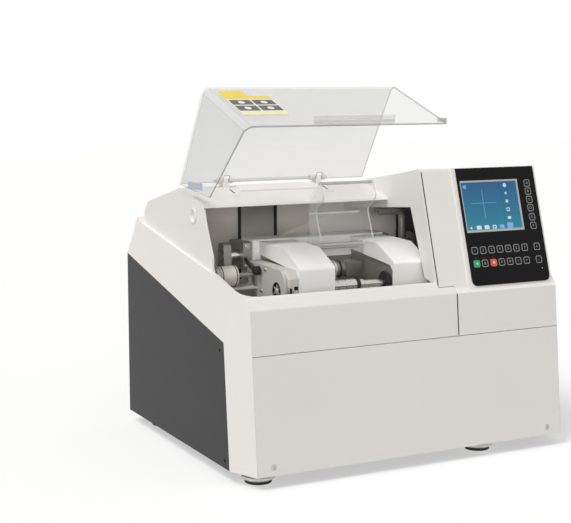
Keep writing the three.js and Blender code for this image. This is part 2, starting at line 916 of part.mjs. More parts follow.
const feet = [
  { name: 'foot_front_left', x: leftFootX, depth: frontFootDepth },
  { name: 'foot_front_right', x: rightFootX, depth: frontFootDepth },
  { name: 'foot_rear_left', x: leftFootX, depth: rearFootDepth },
  { name: 'foot_rear_right', x: rightFootX, depth: rearFootDepth },
];
const studSeat = footStudRadius + seamGap;
let pan = panBlock(0, footHeight, footHeight + panRim)
  .subtract(panBlock(sheetWall, footHeight + sheetWall, footHeight + panRim + overrun));
feet.forEach(({ x, depth }) => {
  pan = pan.subtract(rodZ(x, depth, studSeat, belowBody, footHeight + overrun, smallSides));
});
[...frontHoles, ...sideHoles].forEach((hole) => {
  pan = pan.subtract(hole);
});
piece('base_pan', pan, darkSheet);

// Levelling feet: a rubber-shod knurled disc on a threaded stud
function foot() {
  const top = footHeight - seamGap;
  return turned([
    [0, 0],
    [footPadRadius, 0],
    [footRadius, footPadHeight],
    [footRadius, footPadHeight + footRimHeight],
    [footRadius - footRimHeight, top],
    [footStudRadius, top],
    [footStudRadius, top + footStudLength],
    [0, top + footStudLength],
  ], rodSides);
}
feet.forEach(({ name, x, depth }) => {
  const mesh = piece(name, foot(), greyKnurl);
  mesh.position.set(x, depth, 0);
  mesh.rotation.set(Math.PI / 2, 0, 0);
});

// Black control panel with its openings, the screen and the two solid keys
const panelFront = -plateauRise - seamGap - panelThickness;
function controlPanel() {
  const holes = keys.map(({ x }) => {
    const half = keySize / 2 + runningGap;
    return rectangle(x - half, x + half, keyRowHeight - half, keyRowHeight + half, keyRadius);
  });
  holes.push(rectangle(screenHole.left, screenHole.right, ...screenSpan));
  const edge = outline([
    [0, 0, panelCornerRadius],
    [panelWidth, 0, panelCornerRadius],
    [panelWidth, panelHeight],
    [0, panelHeight],
  ]);
  return prismY(edge, panelFront, panelFront + panelThickness, holes);
}
piece('control_panel', controlPanel(), blackGloss, panelGroup);

function screen() {
  const face = prismY(rectangle(screenLeft, screenLeft + screenWidth, screenBottom, screenBottom + screenHeight),
    panelFront, screenDepth);
  const flange = prismY(rectangle(
    screenLeft - screenFlange, screenLeft + screenWidth + screenFlange,
    screenBottom - screenFlange, screenBottom + screenHeight + screenFlange,
  ), screenFlangeFront, screenFlangeFront + screenFlangeThickness);
  return face.add(flange);
}
piece('display_module', screen(), screenGlass, panelGroup);

keys.forEach(({ name, x, material }) => {
  const half = keySize / 2;
  const capRear = -plateauRise - seamGap - panelThickness / 2;
  const cap = prismY(rectangle(-half, half, -half, half, keyRadius), capRear - keyThickness, capRear);
  const stem = rodY(0, 0, keyStemRadius, capRear - keyThickness / 2, keyStemLength, smallSides);
  piece(name, cap.add(stem), material, panelGroup).position.set(x, 0, keyRowHeight);
});

// Rear panel with its vent slots, power inlet, switch and pipe ports
const rearFront = bodyDepth - sheetWall;
const rearEdge = halfWidth - sheetWall - seamGap;
const switchZ = inletZ + inletHeight / 2 - rockerRadius - inletFlange;
function rearPanel() {
  let panel = box(-rearEdge, rearEdge, rearFront, bodyDepth, footHeight, rearEdgeHeight - seamGap);
  for (let slot = 0; slot < ventCount; slot += 1) {
    const x = ventX + slot * ventPitch;
    panel = panel.subtract(box(x, x + ventWidth, rearFront - overrun, bodyDepth + overrun, ventZ, ventZ + ventHeight));
  }
  const inletHole = prismY(rectangle(
    inletX - inletWidth / 2 - seamGap, inletX + inletWidth / 2 + seamGap,
    inletZ - inletHeight / 2 - seamGap, inletZ + inletHeight / 2 + seamGap,
  ), rearFront - overrun, bodyDepth + overrun);
  const ports = rodY(coolantX, coolantPortHeight, coolantRadius + runningGap, rearFront - overrun, bodyDepth + overrun)
    .add(rodY(drainX, drainPortHeight, drainRadius + runningGap, rearFront - overrun, bodyDepth + overrun));
  return panel.subtract(inletHole).subtract(ports);
}

function powerInlet() {
  const body = box(inletX - inletWidth / 2, inletX + inletWidth / 2, bodyDepth - inletDepth, bodyDepth,
    inletZ - inletHeight / 2, inletZ + inletHeight / 2);
  const reach = inletFlange;
  const flange = box(inletX - inletWidth / 2 - reach, inletX + inletWidth / 2 + reach,
    bodyDepth + seamGap, bodyDepth + seamGap + inletFlangeThickness,
    inletZ - inletHeight / 2 - reach, inletZ + inletHeight / 2 + reach);
  const neck = box(inletX - inletWidth / 2, inletX + inletWidth / 2, bodyDepth - sheetWall,
    bodyDepth + seamGap + inletFlangeThickness, inletZ - inletHeight / 2, inletZ + inletHeight / 2);
  const socketTop = inletZ + inletHeight / 2 - 2 * rockerRadius - 2 * inletFlange;
  const socket = box(inletX - inletWidth / 2 + inletFlange, inletX + inletWidth / 2 - inletFlange,
    bodyDepth - inletDepth + inletFlange, bodyDepth + overrun, inletZ - inletHeight / 2 + inletFlange, socketTop);
  const pocketHalf = rockerWidth / 2 + runningGap;
  const pocket = rodX(bodyDepth, switchZ, rockerRadius + runningGap, inletX - pocketHalf, inletX + pocketHalf);
  return body.add(neck).add(flange).subtract(socket).subtract(pocket);
}

// The mains switch is a rocker that turns on its pin inside the inlet's upper pocket
function rocker() {
  const half = rockerHeight / 2;
  const points = outline([
    [bodyDepth - half, switchZ - half],
    [bodyDepth + inletFlangeThickness, switchZ - half],
    [bodyDepth + rockerRise, switchZ - half],
    [bodyDepth + inletFlangeThickness + seamGap, switchZ],
    [bodyDepth + rockerRise, switchZ + half],
    [bodyDepth - half, switchZ + half],
  ]);
  return prismX(points, inletX - rockerWidth / 2, inletX + rockerWidth / 2);
}

const wheelWidth = roughingWidth + bevelWidth + polishingWidth + 2 * seamGap;
const wellLeft = wheelLeftX - spindleNutWidth - wellSideClearance;
const wellRight = wheelLeftX + wheelWidth + wellSideClearance;
const drainX = (wellLeft + wellRight) / 2;
piece('rear_panel', rearPanel(), darkSheet);
piece('power_inlet', powerInlet(), blackRubber);
piece('main_switch', rocker(), blackRubber);

// Grinding chamber: a cast tray with a deep well round the wheels, standing on legs
const chamberLeft = -cabinetHalfWidth + 2 * shellWall;
const underFloor = chamberFloor - chamberFloorThickness;
const wellReach = wheelRadius + wellClearance;
const wellBottom = wheelHeight - wellReach - chamberWall;
const panTop = footHeight + sheetWall + seamGap;
function chamber() {
  const outer = box(chamberLeft, chamberRight, chamberFront, chamberRear + chamberWall, underFloor, chamberRimHeight);
  const inner = box(chamberLeft + chamberWall, chamberRight - chamberWall, chamberFront + chamberWall, chamberRear,
    chamberFloor, chamberRimHeight + overrun);
  const backTop = windowTopAt(chamberRear + chamberWall) - 2 * seamGap;
  const back = box(chamberLeft, chamberRight, chamberRear, chamberRear + chamberWall, underFloor, backTop)
    .add(box(chamberLeft, flankLeft - seamGap, chamberRear, chamberRear + chamberWall, underFloor, chamberRearHeight));
  const wellOuter = box(wellLeft - chamberWall, wellRight + chamberWall, wheelDepth - wellReach - chamberWall,
    wheelDepth + wellReach + chamberWall, wellBottom, underFloor + chamberFloorThickness / 2);
  const wellInner = box(wellLeft, wellRight, wheelDepth - wellReach, wheelDepth + wellReach,
    wellBottom + chamberWall, chamberFloor + overrun);
  let casting = outer.subtract(inner).add(back).add(wellOuter).subtract(wellInner);
  [ribLeftX, ribRightX].forEach((x) => {
    casting = casting.add(box(x, x + ribWidth, chamberRear - ribRise, chamberRear + ribRise,
      ribFootHeight, chamberRearHeight));
  });
  const legLeft = chamberLeft + chamberLegInset;
  const legFront = chamberFront + chamberLegInset;
  const legRear = chamberRear - chamberLegInset - chamberLegSize;
  const legs = [
    [legLeft, legFront],
    [legLeft, legRear],
    [chamberRight - chamberLegInset - chamberLegSize, legFront],
    [rearLegRightX, legRear],
  ];
  legs.forEach(([x, y]) => {
    casting = casting.add(box(x, x + chamberLegSize, y, y + chamberLegSize, panTop,
      underFloor + chamberFloorThickness / 2));
  });
  const earHalf = actuatorSize / 2;
  casting = casting.add(box(chamberRight - chamberWall, chamberRight, driveRodDepth - earHalf,
    driveRodDepth + earHalf, chamberRimHeight - overrun, driveRodHeight + earHalf));
  const spindleHole = rodX(wheelDepth, wheelHeight, spindleRadius + 2 * runningGap, wellRight - overrun,
    housingLeftX + overrun);
  const drainHole = rodZ(drainX, drainDepth, drainRadius + seamGap, belowBody, wheelHeight);
  const coolantHole = rodZ(coolantX, coolantDepth, coolantRadius + seamGap, underFloor - overrun,
    chamberFloor + overrun);
  const rodHole = rodX(driveRodDepth, driveRodHeight, driveRodRadius + 2 * runningGap, chamberRight - overrun,
    chamberRight + overrun);
  return casting.subtract(spindleHole).subtract(drainHole).subtract(coolantHole).subtract(rodHole);
}
piece('chamber_tray', chamber(), paintedSteel);

// Spindle with three wheels, clamped by a nut at its left end
let wheelX = wheelLeftX;
const wheels = [
  { name: 'roughing_wheel', width: roughingWidth, groove: 0 },
  { name: 'bevel_wheel', width: bevelWidth, groove: bevelGroove },
  { name: 'polishing_wheel', width: polishingWidth, groove: 0 },
];
wheels.forEach(({ name, width, groove }) => {
  const bore = spindleRadius + seamGap;
  const middle = width / 2;
  const rim = groove > 0 ? [
    [wheelRadius, middle - groove],
    [wheelRadius - groove, middle],
    [wheelRadius, middle + groove],
  ] : [];
  const wheel = turned([[bore, 0], [wheelRadius, 0], ...rim, [wheelRadius, width], [bore, width], [bore, 0]], fineSides);
  const mesh = piece(name, wheel, bronzeBond);
  mesh.position.set(wheelX, wheelDepth, wheelHeight);
  mesh.rotation.set(0, 0, -Math.PI / 2);
  wheelX += width + seamGap;
});

const housingRight = housingLeftX + housingLength;
const pulleyLeft = housingRight + pulleyGap;
const pulleyRight = pulleyLeft + pulleyWidth;
function spindle() {
  const shaft = rodX(wheelDepth, wheelHeight, spindleRadius, wheelLeftX - seamGap - spindleNutWidth, pulleyRight + seamGap);
  const nut = rodX(wheelDepth, wheelHeight, spindleNutRadius, wheelLeftX - seamGap - spindleNutWidth,
    wheelLeftX - seamGap, smallSides / 2);
  const collar = rodX(wheelDepth, wheelHeight, spindleNutRadius, wheelX, wheelX + spindleNutWidth / 2);
  return shaft.add(nut).add(collar);
}
piece('wheel_spindle', spindle(), brightSteel);

function spindleHousing() {
  const cartridge = rodX(wheelDepth, wheelHeight, housingRadius, housingLeftX, housingRight);
  const middle = (housingLeftX + housingRight) / 2;
  const foot = box(middle - pedestalWidth / 2, middle + pedestalWidth / 2, wheelDepth - pedestalDepth / 2,
    wheelDepth + pedestalDepth / 2, panTop, wheelHeight - housingRadius / 2);
  const bore = rodX(wheelDepth, wheelHeight, spindleRadius + runningGap, housingLeftX - overrun, housingRight + overrun);
  return cartridge.add(foot).subtract(bore);
}
piece('spindle_housing', spindleHousing(), castAluminium);

// A belt pulley along X, with a flange on each side
function pulley([depth, height, radius], left, width, flange) {
  const rim = radius + flange;
  return rodX(depth, height, radius, left, left + width)
    .add(rodX(depth, height, rim, left, left + flange))
    .add(rodX(depth, height, rim, left + width - flange, left + width));
}
const spindlePulleyAt = [wheelDepth, wheelHeight, spindlePulleyRadius];
const motorPulleyAt = [motorDepth, motorHeight, motorPulleyRadius];
const spindlePulleyBore = rodX(wheelDepth, wheelHeight, spindleRadius + seamGap, pulleyLeft - overrun, pulleyRight + overrun);
piece('spindle_pulley', pulley(spindlePulleyAt, pulleyLeft, pulleyWidth, pulleyFlange).subtract(spindlePulleyBore),
  castAluminium);

const motorX = pulleyLeft - pulleyGap - motorLength;
function wheelMotor() {
  const can = rodX(motorDepth, motorHeight, motorRadius, motorX, motorX + motorLength, fineSides);
  const middle = motorX + motorLength / 2;
  const foot = box(middle - motorFootLength / 2, middle + motorFootLength / 2, motorDepth - motorFootWidth / 2,
    motorDepth + motorFootWidth / 2, panTop, motorHeight - motorRadius / 2);
  const bore = rodX(motorDepth, motorHeight, motorShaftRadius + runningGap, motorX + motorLength / 2,
    motorX + motorLength + overrun);
  return can.add(foot).subtract(bore);
}
piece('wheel_motor', wheelMotor(), darkSheet);

function motorPulley() {
  const shaft = rodX(motorDepth, motorHeight, motorShaftRadius, motorX + motorLength / 2 + seamGap, pulleyRight);
  return pulley(motorPulleyAt, pulleyLeft, pulleyWidth, pulleyFlange).add(shaft);
}
piece('motor_pulley', motorPulley(), castAluminium);

// A belt round two pulleys along X
function belt(first, second, thickness, left, width) {
  const grown = ([depth, height, radius], extra) => {
    const inner = (radius + seamGap) / Math.cos(Math.PI / fineSides);
    return [depth, height, inner + extra];
  };
  const outside = wrapped(grown(first, thickness), grown(second, thickness), fineSides);
  const inside = wrapped(grown(first, 0), grown(second, 0), fineSides);
  return prismX(outside, left, left + width).subtract(prismX(inside, left - overrun, left + width + overrun));
}
const beltLeft = pulleyLeft + (pulleyWidth - beltWidth) / 2;
piece('drive_belt', belt(spindlePulleyAt, motorPulleyAt, beltThickness, beltLeft, beltWidth), blackRubber);

// Pivot shaft on two posts, and the slider that carries the carriage along it
const collarLeft = beamLeft - seamGap - collarWidth;
const collarRight = beamRight + seamGap + collarWidth;
const postLeftX = collarLeft - slideLeft - stopClearance - postWidth;
const shaftSeat = pivotRadius + seamGap;
piece('pivot_shaft', rodX(pivotDepth, pivotHeight, pivotRadius, postLeftX, postRightX + postWidth), brightSteel);

function post(left) {
  const points = outline([
    [pivotDepth - postDepth / 2, chamberFloor + seamGap],
    [pivotDepth - postCap / 2, pivotHeight + postCap, postCap / 3],
    [pivotDepth + postCap / 2, pivotHeight + postCap, postCap / 3],
    [pivotDepth + postDepth / 2, chamberFloor + seamGap],
  ]);
  return prismX(points, left, left + postWidth, [circle(pivotDepth, pivotHeight, shaftSeat)]);
}
piece('left_shaft_post', post(postLeftX), castAluminium);
piece('right_shaft_post', post(postRightX), castAluminium);

const sleeveBore = pivotRadius + runningGap;
const sleeveRadius = sleeveBore + sleeveWall;
const actuatorLeft = chamberRight + seamGap;
function slider() {
  const front = pivotDepth - sleeveRadius - sleeveWall;
  const top = pivotHeight + collarHeight / 2;
  const block = rectangle(front, front + collarDepth, pivotHeight - collarHeight / 2, top, sleeveWall);
  const ends = prismX(block, collarLeft, collarLeft + collarWidth)
    .add(prismX(block, collarRight - collarWidth, collarRight));
  const sleeve = rodX(pivotDepth, pivotHeight, sleeveRadius, collarLeft, collarRight);
  const rod = rodX(driveRodDepth, driveRodHeight, driveRodRadius, collarRight - collarWidth,
    actuatorLeft + driveRodReach, smallSides);
  const bore = rodX(pivotDepth, pivotHeight, sleeveBore, collarLeft - overrun, collarRight + overrun);
  return ends.add(sleeve).add(rod).subtract(bore);
}
piece('carriage_slider', slider(), castAluminium);

// Actuator that pushes the slider's rod to and fro, bolted to the chamber's right wall
function actuator() {
  const half = actuatorSize / 2;
  const block = prismX(
    rectangle(driveRodDepth - half, driveRodDepth + half, driveRodHeight - half, driveRodHeight + half, sleeveWall),
    actuatorLeft, actuatorLeft + actuatorLength);
  const bore = rodX(driveRodDepth, driveRodHeight, driveRodRadius + runningGap, actuatorLeft - overrun,
    actuatorLeft + actuatorLength + overrun, smallSides);
  return block.subtract(bore);
}
piece('slide_actuator', actuator(), darkSheet);

// Carriage cover: a skin over a beam and two arms, open below the seam along its sides
const beamSkin = () => outline([
  [beamFront, apronBottom],
  [beamFront, beamTop, beamRadius],
  [beamRear, beamTop, beamRadius],
  [beamRear, apronBottom],
]);
const armSkin = () => outline([
  [armFront, apronBottom - overrun],
  [armFront, armBrowHeight, armBrowRadius],
  [armSlopeDepth, armSlopeHeight],
  [beamFront, armRearHeight],
  [beamRear, armRearHeight],
  [beamRear, apronBottom - overrun],
]);
const arms = [
  { left: leftArmLeft, right: leftArmRight },
  { left: rightArmLeft, right: beamRight },
];
const sleeveSeat = sleeveRadius + runningGap;
const castingGap = shellWall + seamGap;

function carriageCover() {
  const aboveSeam = prismX(outline([
    [armFront, apronBottom],
    [armFront + shellWall, apronBottom],
    [armFront + shellWall, armSeamToeHeight],
    [armSeamFrontDepth, armSeamFrontHeight],
    [beamFront, armSeamRearHeight],
    [beamFront, beamSeamHeight],
    [beamRear, beamSeamHeight],
    [beamRear, beamTop + overrun],
    [armFront, beamTop + overrun],
  ]), beamLeft - overrun, beamRight + overrun);
  let outer = prismX(beamSkin(), beamLeft, beamRight);
  let inner = prismX(inset(beamSkin(), shellWall), beamLeft + shellWall, beamRight - shellWall);
  arms.forEach(({ left, right }) => {
    outer = outer.add(prismX(armSkin(), left, right));
    inner = inner.add(prismX(inset(armSkin(), shellWall), left + shellWall, right - shellWall));
  });
  const apronSlot = box(beamLeft, beamRight, armFront + shellWall, beamFront, 0, armSeamToeHeight);
  const sleeveHole = rodX(pivotDepth, pivotHeight, sleeveSeat, beamLeft - overrun, beamRight + overrun);
  return outer.subtract(inner).intersect(aboveSeam).subtract(apronSlot).subtract(sleeveHole);
}
piece('carriage_cover', carriageCover(), whiteShell, carriage);

// Carriage casting: a beam round the sleeve, and an arm with a round nose under each cover arm
function carriageFrame() {
  const left = beamLeft + castingGap;
  const right = beamRight - castingGap;
  const keep = box(left, right, armFront, beamRear, 0, beamTop);
  const beamHalf = (beamTop - beamBottom) / 2;
  let casting = prismX(inset(beamSkin(), castingGap), left, right)
    .intersect(box(left, right, beamFront, beamRear, beamBottom, beamTop));
  arms.forEach((arm) => {
    const blank = wrapped([lensDepth, lensHeight, noseRadius], [beamFront + beamHalf, beamBottom + beamHalf, beamHalf],
      fineSides);
    casting = casting.add(prismX(blank, arm.left + castingGap, arm.right - castingGap)
      .intersect(prismX(inset(armSkin(), castingGap), arm.left, arm.right)));
  });
  const sleeveBore = rodX(pivotDepth, pivotHeight, sleeveSeat, beamLeft - overrun, beamRight + overrun);
  const chuckBore = rodX(lensDepth, lensHeight, chuckShaftRadius + runningGap, leftArmLeft - overrun,
    leftArmRight + overrun);
  const quillBore = rodX(lensDepth, lensHeight, quillRadius + runningGap, rightArmLeft - overrun,
    beamRight + overrun);
  return casting.intersect(keep).subtract(sleeveBore).subtract(chuckBore).subtract(quillBore);
}
piece('carriage_frame', carriageFrame(), castAluminium, carriage);

// Lens shafts: the driven chuck shaft on the left, the sliding clamp shaft on the right
const housingBack = leftArmLeft - seamGap;
const castingLeft = leftArmLeft + castingGap;
const housingFace = driveHousingLeft + driveHousingWall;
const lensPulleyLeft = housingFace + 2 * runningGap;
const lensPulleyAt = [lensDepth, lensHeight, lensPulleyRadius];
function chuckShaft() {
  return rodX(lensDepth, lensHeight, chuckShaftRadius, lensPulleyLeft, leftArmRight)
    .add(rodX(lensDepth, lensHeight, chuckRadius, leftArmRight - shellWall, chuckEndX));
}
piece('chuck_shaft', chuckShaft(), brightSteel, carriage);

const lensPulleyBore = rodX(lensDepth, lensHeight, chuckShaftRadius + seamGap, lensPulleyLeft - overrun,
  lensPulleyLeft + overrun);
piece('lens_pulley', pulley(lensPulleyAt, lensPulleyLeft, lensPulleyWidth, lensPulleyFlange).subtract(lensPulleyBore),
  castAluminium, carriage);

const padLeft = chuckEndX + seamGap;
const clampLeft = padLeft + padThickness + seamGap;
piece('chuck_pad', rodX(lensDepth, lensHeight, padRadius, padLeft, padLeft + padThickness), blackRubber, carriage);
piece('clamp_shaft', rodX(lensDepth, lensHeight, clampRadius, clampLeft, quillRightX)
  .add(rodX(lensDepth, lensHeight, clampFootRadius, clampLeft, clampLeft + clampFootLength)), brightSteel, carriage);
piece('clamp_quill', rodX(lensDepth, lensHeight, quillRadius, quillLeftX, quillRightX)
  .subtract(rodX(lensDepth, lensHeight, clampRadius + runningGap, quillLeftX - overrun, quillRightX + overrun)),
brightSteel, carriage);

// Drive housing on the left arm: a round case over the lens pulley, with a tail to its motor
const lensMotorRight = driveHousingLeft - lensMotorGap;
const lensMotorLeft = lensMotorRight - lensMotorLength;
const shelfTop = lensMotorHeight - lensMotorRadius - seamGap;
function housingBlock(shrink, left, right) {
  return prismX(wrapped(
    [lensDepth, lensHeight, driveHousingRadius - shrink],
    [lensMotorDepth, lensMotorHeight, driveHousingTailRadius - shrink],
    fineSides,
  ), left, right);
}

function driveHousing() {
  const faceHole = (depth, height, radius) => rodX(depth, height, radius, driveHousingLeft - overrun,
    housingFace + runningGap);
  const shell = housingBlock(0, driveHousingLeft, housingBack)
    .subtract(housingBlock(driveHousingWall, housingFace, housingBack - driveHousingWall));
  const neck = rodX(lensDepth, lensHeight, driveHousingNeckRadius, housingBack - driveHousingWall / 2,
    castingLeft - seamGap);
  const shelf = box(lensMotorLeft, housingFace, lensMotorDepth - lensMotorRadius, lensMotorDepth + lensMotorRadius,
    shelfTop - shelfThickness, shelfTop);
  const shaftHole = rodX(lensDepth, lensHeight, chuckShaftRadius + runningGap, housingFace + overrun / 2, castingLeft);
  return shell.add(neck).add(shelf)
    .subtract(shaftHole)
    .subtract(faceHole(lensDepth, lensHeight, hubOpeningRadius))
    .subtract(faceHole(lensMotorDepth, lensMotorHeight, lensMotorShaftRadius + runningGap))
    .subtract(faceHole(leverPivotDepth, leverPivotHeight, leverPinRadius + runningGap))
    .subtract(faceHole(knobDepth, knobHeight, knobStemRadius + runningGap));
}
piece('drive_housing', driveHousing(), paintedSteel, carriage);

function lensMotor() {
  const can = rodX(lensMotorDepth, lensMotorHeight, lensMotorRadius, lensMotorLeft, lensMotorRight);
  const end = rodX(lensMotorDepth, lensMotorHeight, lensMotorEndRadius, lensMotorLeft - lensMotorEndLength, lensMotorLeft);
  const bore = rodX(lensMotorDepth, lensMotorHeight, lensMotorShaftRadius + runningGap,
    lensMotorRight - lensMotorLength / 2, lensMotorRight + overrun);
  return can.add(end).subtract(bore);
}
piece('lens_motor', lensMotor(), creamPaint, carriage);

const lensMotorPulleyAt = [lensMotorDepth, lensMotorHeight, lensMotorPulleyRadius];
function lensMotorPulley() {
  const shaft = rodX(lensMotorDepth, lensMotorHeight, lensMotorShaftRadius,
    lensMotorRight - lensMotorLength / 2 + seamGap, lensPulleyLeft + lensPulleyWidth);
  return pulley(lensMotorPulleyAt, lensPulleyLeft, lensPulleyWidth, lensPulleyFlange).add(shaft);
}
piece('lens_motor_pulley', lensMotorPulley(), castAluminium, carriage);
piece('lens_belt', belt(lensPulleyAt, lensMotorPulleyAt, lensBeltThickness,
  lensPulleyLeft + (lensPulleyWidth - lensBeltWidth) / 2, lensBeltWidth), blackRubber, carriage);

// Feeler lever and lock knob on the housing's left face
const leverRight = driveHousingLeft - leverGap;
const stemEnd = housingFace + runningGap;
function lever() {
  const pivot = [leverPivotDepth, leverPivotHeight, leverRadius];
  const plate = (end) => prismX(wrapped(pivot, end, smallSides), leverRight - leverThickness, leverRight);
  return plate([leverTailDepth, leverTailHeight, leverEndRadius])
    .add(plate([leverTipDepth, leverTipHeight, leverEndRadius]))
    .add(rodX(leverPivotDepth, leverPivotHeight, leverPinRadius, leverRight - leverThickness, stemEnd, smallSides))
    .add(rodX(leverPivotDepth, leverPivotHeight, leverRadius, leverRight - leverThickness,
      driveHousingLeft - seamGap, smallSides));
}
piece('feeler_lever', lever(), brightSteel, carriage);

function knob() {
  return rodX(knobDepth, knobHeight, knobRadius, driveHousingLeft - seamGap - knobLength, driveHousingLeft - seamGap)
    .add(rodX(knobDepth, knobHeight, knobStemRadius, driveHousingLeft - knobLength / 2, stemEnd, smallSides));
}
piece('lock_knob', knob(), blackRubber, carriage);

// Clamping motor between the arms, on a bracket from the casting's beam
const clampMotorRight = clampMotorLeft + clampMotorLength;
const gearboxRight = clampMotorRight + clampGearboxLength;
function clampMotor() {
  const halfDepth = clampGearboxDepth / 2;
  const halfHeight = clampGearboxHeight / 2;
  const gearbox = box(clampMotorRight, gearboxRight, clampMotorDepth - halfDepth, clampMotorDepth + halfDepth,
    clampMotorHeight - halfHeight, clampMotorHeight + halfHeight);
  const bracket = box(clampMotorRight, gearboxRight, clampMotorDepth, beamFront + castingGap - seamGap,
    clampMotorHeight - clampBracketHeight / 2, clampMotorHeight + clampBracketHeight / 2);
  return rodX(clampMotorDepth, clampMotorHeight, clampMotorRadius, clampMotorLeft, clampMotorRight)
    .add(gearbox).add(bracket);
}
piece('clamp_motor', clampMotor(), brightSteel, carriage);

// Clear splash guard over the lens, on a rod between the arms
const guardRodLeft = leftArmRight + seamGap;
const guardRodRight = rightArmLeft - seamGap;
piece('guard_rod', rodX(guardHingeDepth, guardHingeHeight, guardRodRadius, guardRodLeft, guardRodRight, smallSides),
  brightSteel, carriage);

function splashGuard() {
  const left = guardRodLeft + guardMargin;
  const right = guardRodRight - guardMargin;
  const back = [
    [guardHeelDepth, guardHeelHeight],
    [guardBellyDepth, guardBellyHeight, guardBend],
    [guardShoulderDepth, guardShoulderHeight, guardBend],
    [guardTipDepth, guardTipHeight],
  ];
  const flange = outline([
    ...back,
    [guardBrowDepth, guardBrowHeight, guardBend],
    [guardNotchDepth, guardNotchHeight, guardBend],
    [guardToeDepth, guardToeHeight],
  ]);
  const lug = wrapped([guardHingeDepth, guardHingeHeight, guardLugRadius], [guardLugDepth, guardLugHeight, guardLugRadius]);
  const hollow = inset(outline([
    ...back,
    [guardTipDepth - guardTipHeight, guardTipHeight],
    [guardTipDepth - guardTipHeight, guardHingeHeight - overrun],
    [guardHingeDepth, guardHingeHeight - overrun],
  ]), guardWall);
  const inner = prismX(hollow, left + guardWall, right - guardWall)
    .add(box(left + guardWall, right - guardWall, guardTipDepth - overrun, guardTipDepth, guardBrowHeight,
      guardTipHeight + overrun));
  return prismX(flange, left, right).add(prismX(lug, left, right))
    .subtract(inner)
    .subtract(rodX(guardHingeDepth, guardHingeHeight, guardRodRadius + runningGap, left - overrun, right + overrun,
      smallSides));
}
piece('splash_guard', splashGuard(), clearSheet, carriage);

// Clear hood over the mouth: a top, a front and a left side of bent sheet, open on the right
const hingeXs = [hingeLeftX, hingeRightX];
const halfBracket = hingeBracketWidth / 2;
function hood() {
  const corners = [
    [hoodHeelDepth, hoodHeelHeight],
    [hoodPeakDepth, hoodPeakHeight, hoodPeakRadius],
    [hoodLipDepth, hoodLipHeight],
  ];
  const sheet = prismX(outline([...corners, [hoodSkirtDepth, hoodSkirtHeight]]), -hoodLeft, hoodRight);
  const [heel, peak, lip] = corners.map(([depth, height]) => new THREE.Vector2(depth, height));
  const down = heel.clone().sub(peak);
  const forward = lip.clone().sub(peak);
  const hollow = inset(outline([
    [peak.x + 2 * down.x, peak.y + 2 * down.y],
    corners[1],
    [peak.x + 2 * forward.x, peak.y + 2 * forward.y],
    [peak.x + 2 * (down.x + forward.x), peak.y + 2 * (down.y + forward.y)],
  ]), hoodWall);
  let shape = sheet.subtract(prismX(hollow, -hoodLeft + hoodWall, hoodRight + overrun));
  hingeXs.forEach((x) => {
    const reach = halfBracket + runningGap;
    const knuckleEnd = reach + hingeKnuckleWidth;
    shape = shape.subtract(rodX(hingeDepth, hingeHeight, hingeKnuckleRadius + hoodNotch, x - reach, x + reach));
    shape = shape.add(rodX(hingeDepth, hingeHeight, hingeKnuckleRadius, x - knuckleEnd, x - reach));
    shape = shape.add(rodX(hingeDepth, hingeHeight, hingeKnuckleRadius, x + reach, x + knuckleEnd));
  });
  return shape.subtract(rodX(hingeDepth, hingeHeight, hingeRodRadius + runningGap, hingeLeftX - bodyWidth,
    hingeRightX + bodyWidth, smallSides));
}
piece('hood', hood(), clearSheet);

// Hinge brackets, each straddling the ridge of the roof, and the rod through them
const headerAt = (depth) => ridgeHeight
  - ((ridgeDepth - depth) * (ridgeHeight - headerFrontHeight)) / (ridgeDepth - headerFrontDepth);
const roofAt = (depth) => ridgeHeight
  - ((depth - ridgeDepth) * (ridgeHeight - roofBreakHeight)) / (roofBreakDepth - ridgeDepth);
function hingeBracket(x) {
  const front = ridgeDepth - bracketFrontReach;
  const rear = ridgeDepth + bracketRearReach;
  const foot = outline([
    [front, headerAt(front) + seamGap],
    [ridgeDepth, ridgeHeight + seamGap],
    [rear, roofAt(rear) + seamGap],
    [rear, roofAt(rear) + seamGap + bracketThickness],
    [hingeDepth + hingeKnuckleRadius, hingeHeight],
    [hingeDepth - hingeKnuckleRadius, hingeHeight],
    [front, headerAt(front) + seamGap + bracketThickness],
  ]);
  return prismX(foot, x - halfBracket, x + halfBracket)
    .add(rodX(hingeDepth, hingeHeight, hingeKnuckleRadius, x - halfBracket, x + halfBracket))
    .subtract(rodX(hingeDepth, hingeHeight, hingeRodRadius + runningGap, x - overrun, x + overrun, smallSides));
}
piece('hood_bracket_left', hingeBracket(hingeLeftX), paintedSteel);
piece('hood_bracket_right', hingeBracket(hingeRightX), paintedSteel);
piece('hood_hinge_rod', rodX(hingeDepth, hingeHeight, hingeRodRadius, hingeLeftX - halfBracket - hingeRodOverhang,
  hingeRightX + halfBracket + hingeRodOverhang, smallSides), brightSteel);

// A route with one ring at each end and some round each bend
class Route extends THREE.Curve {
  constructor(points, bend) {
    super();
    const last = points.length - 1;
    this.rings = points.flatMap((corner, i) => {
      if (i === 0 || i === last) return [corner];
      const into = corner.clone().add(points[i - 1].clone().sub(corner).setLength(bend));
      const out = corner.clone().add(points[i + 1].clone().sub(corner).setLength(bend));
      return new THREE.QuadraticBezierCurve3(into, corner, out).getPoints(arcSteps);
    });
  }

  getPoint(share, target = new THREE.Vector3()) {
    const along = share * (this.rings.length - 1);
    const index = Math.min(Math.floor(along), this.rings.length - 2);
    return target.lerpVectors(this.rings[index], this.rings[index + 1], along - index);
  }

  getPointAt(share, target) {
    return this.getPoint(share, target);
  }

  getTangentAt(share, target) {
    return this.getTangent(share, target);
  }
}

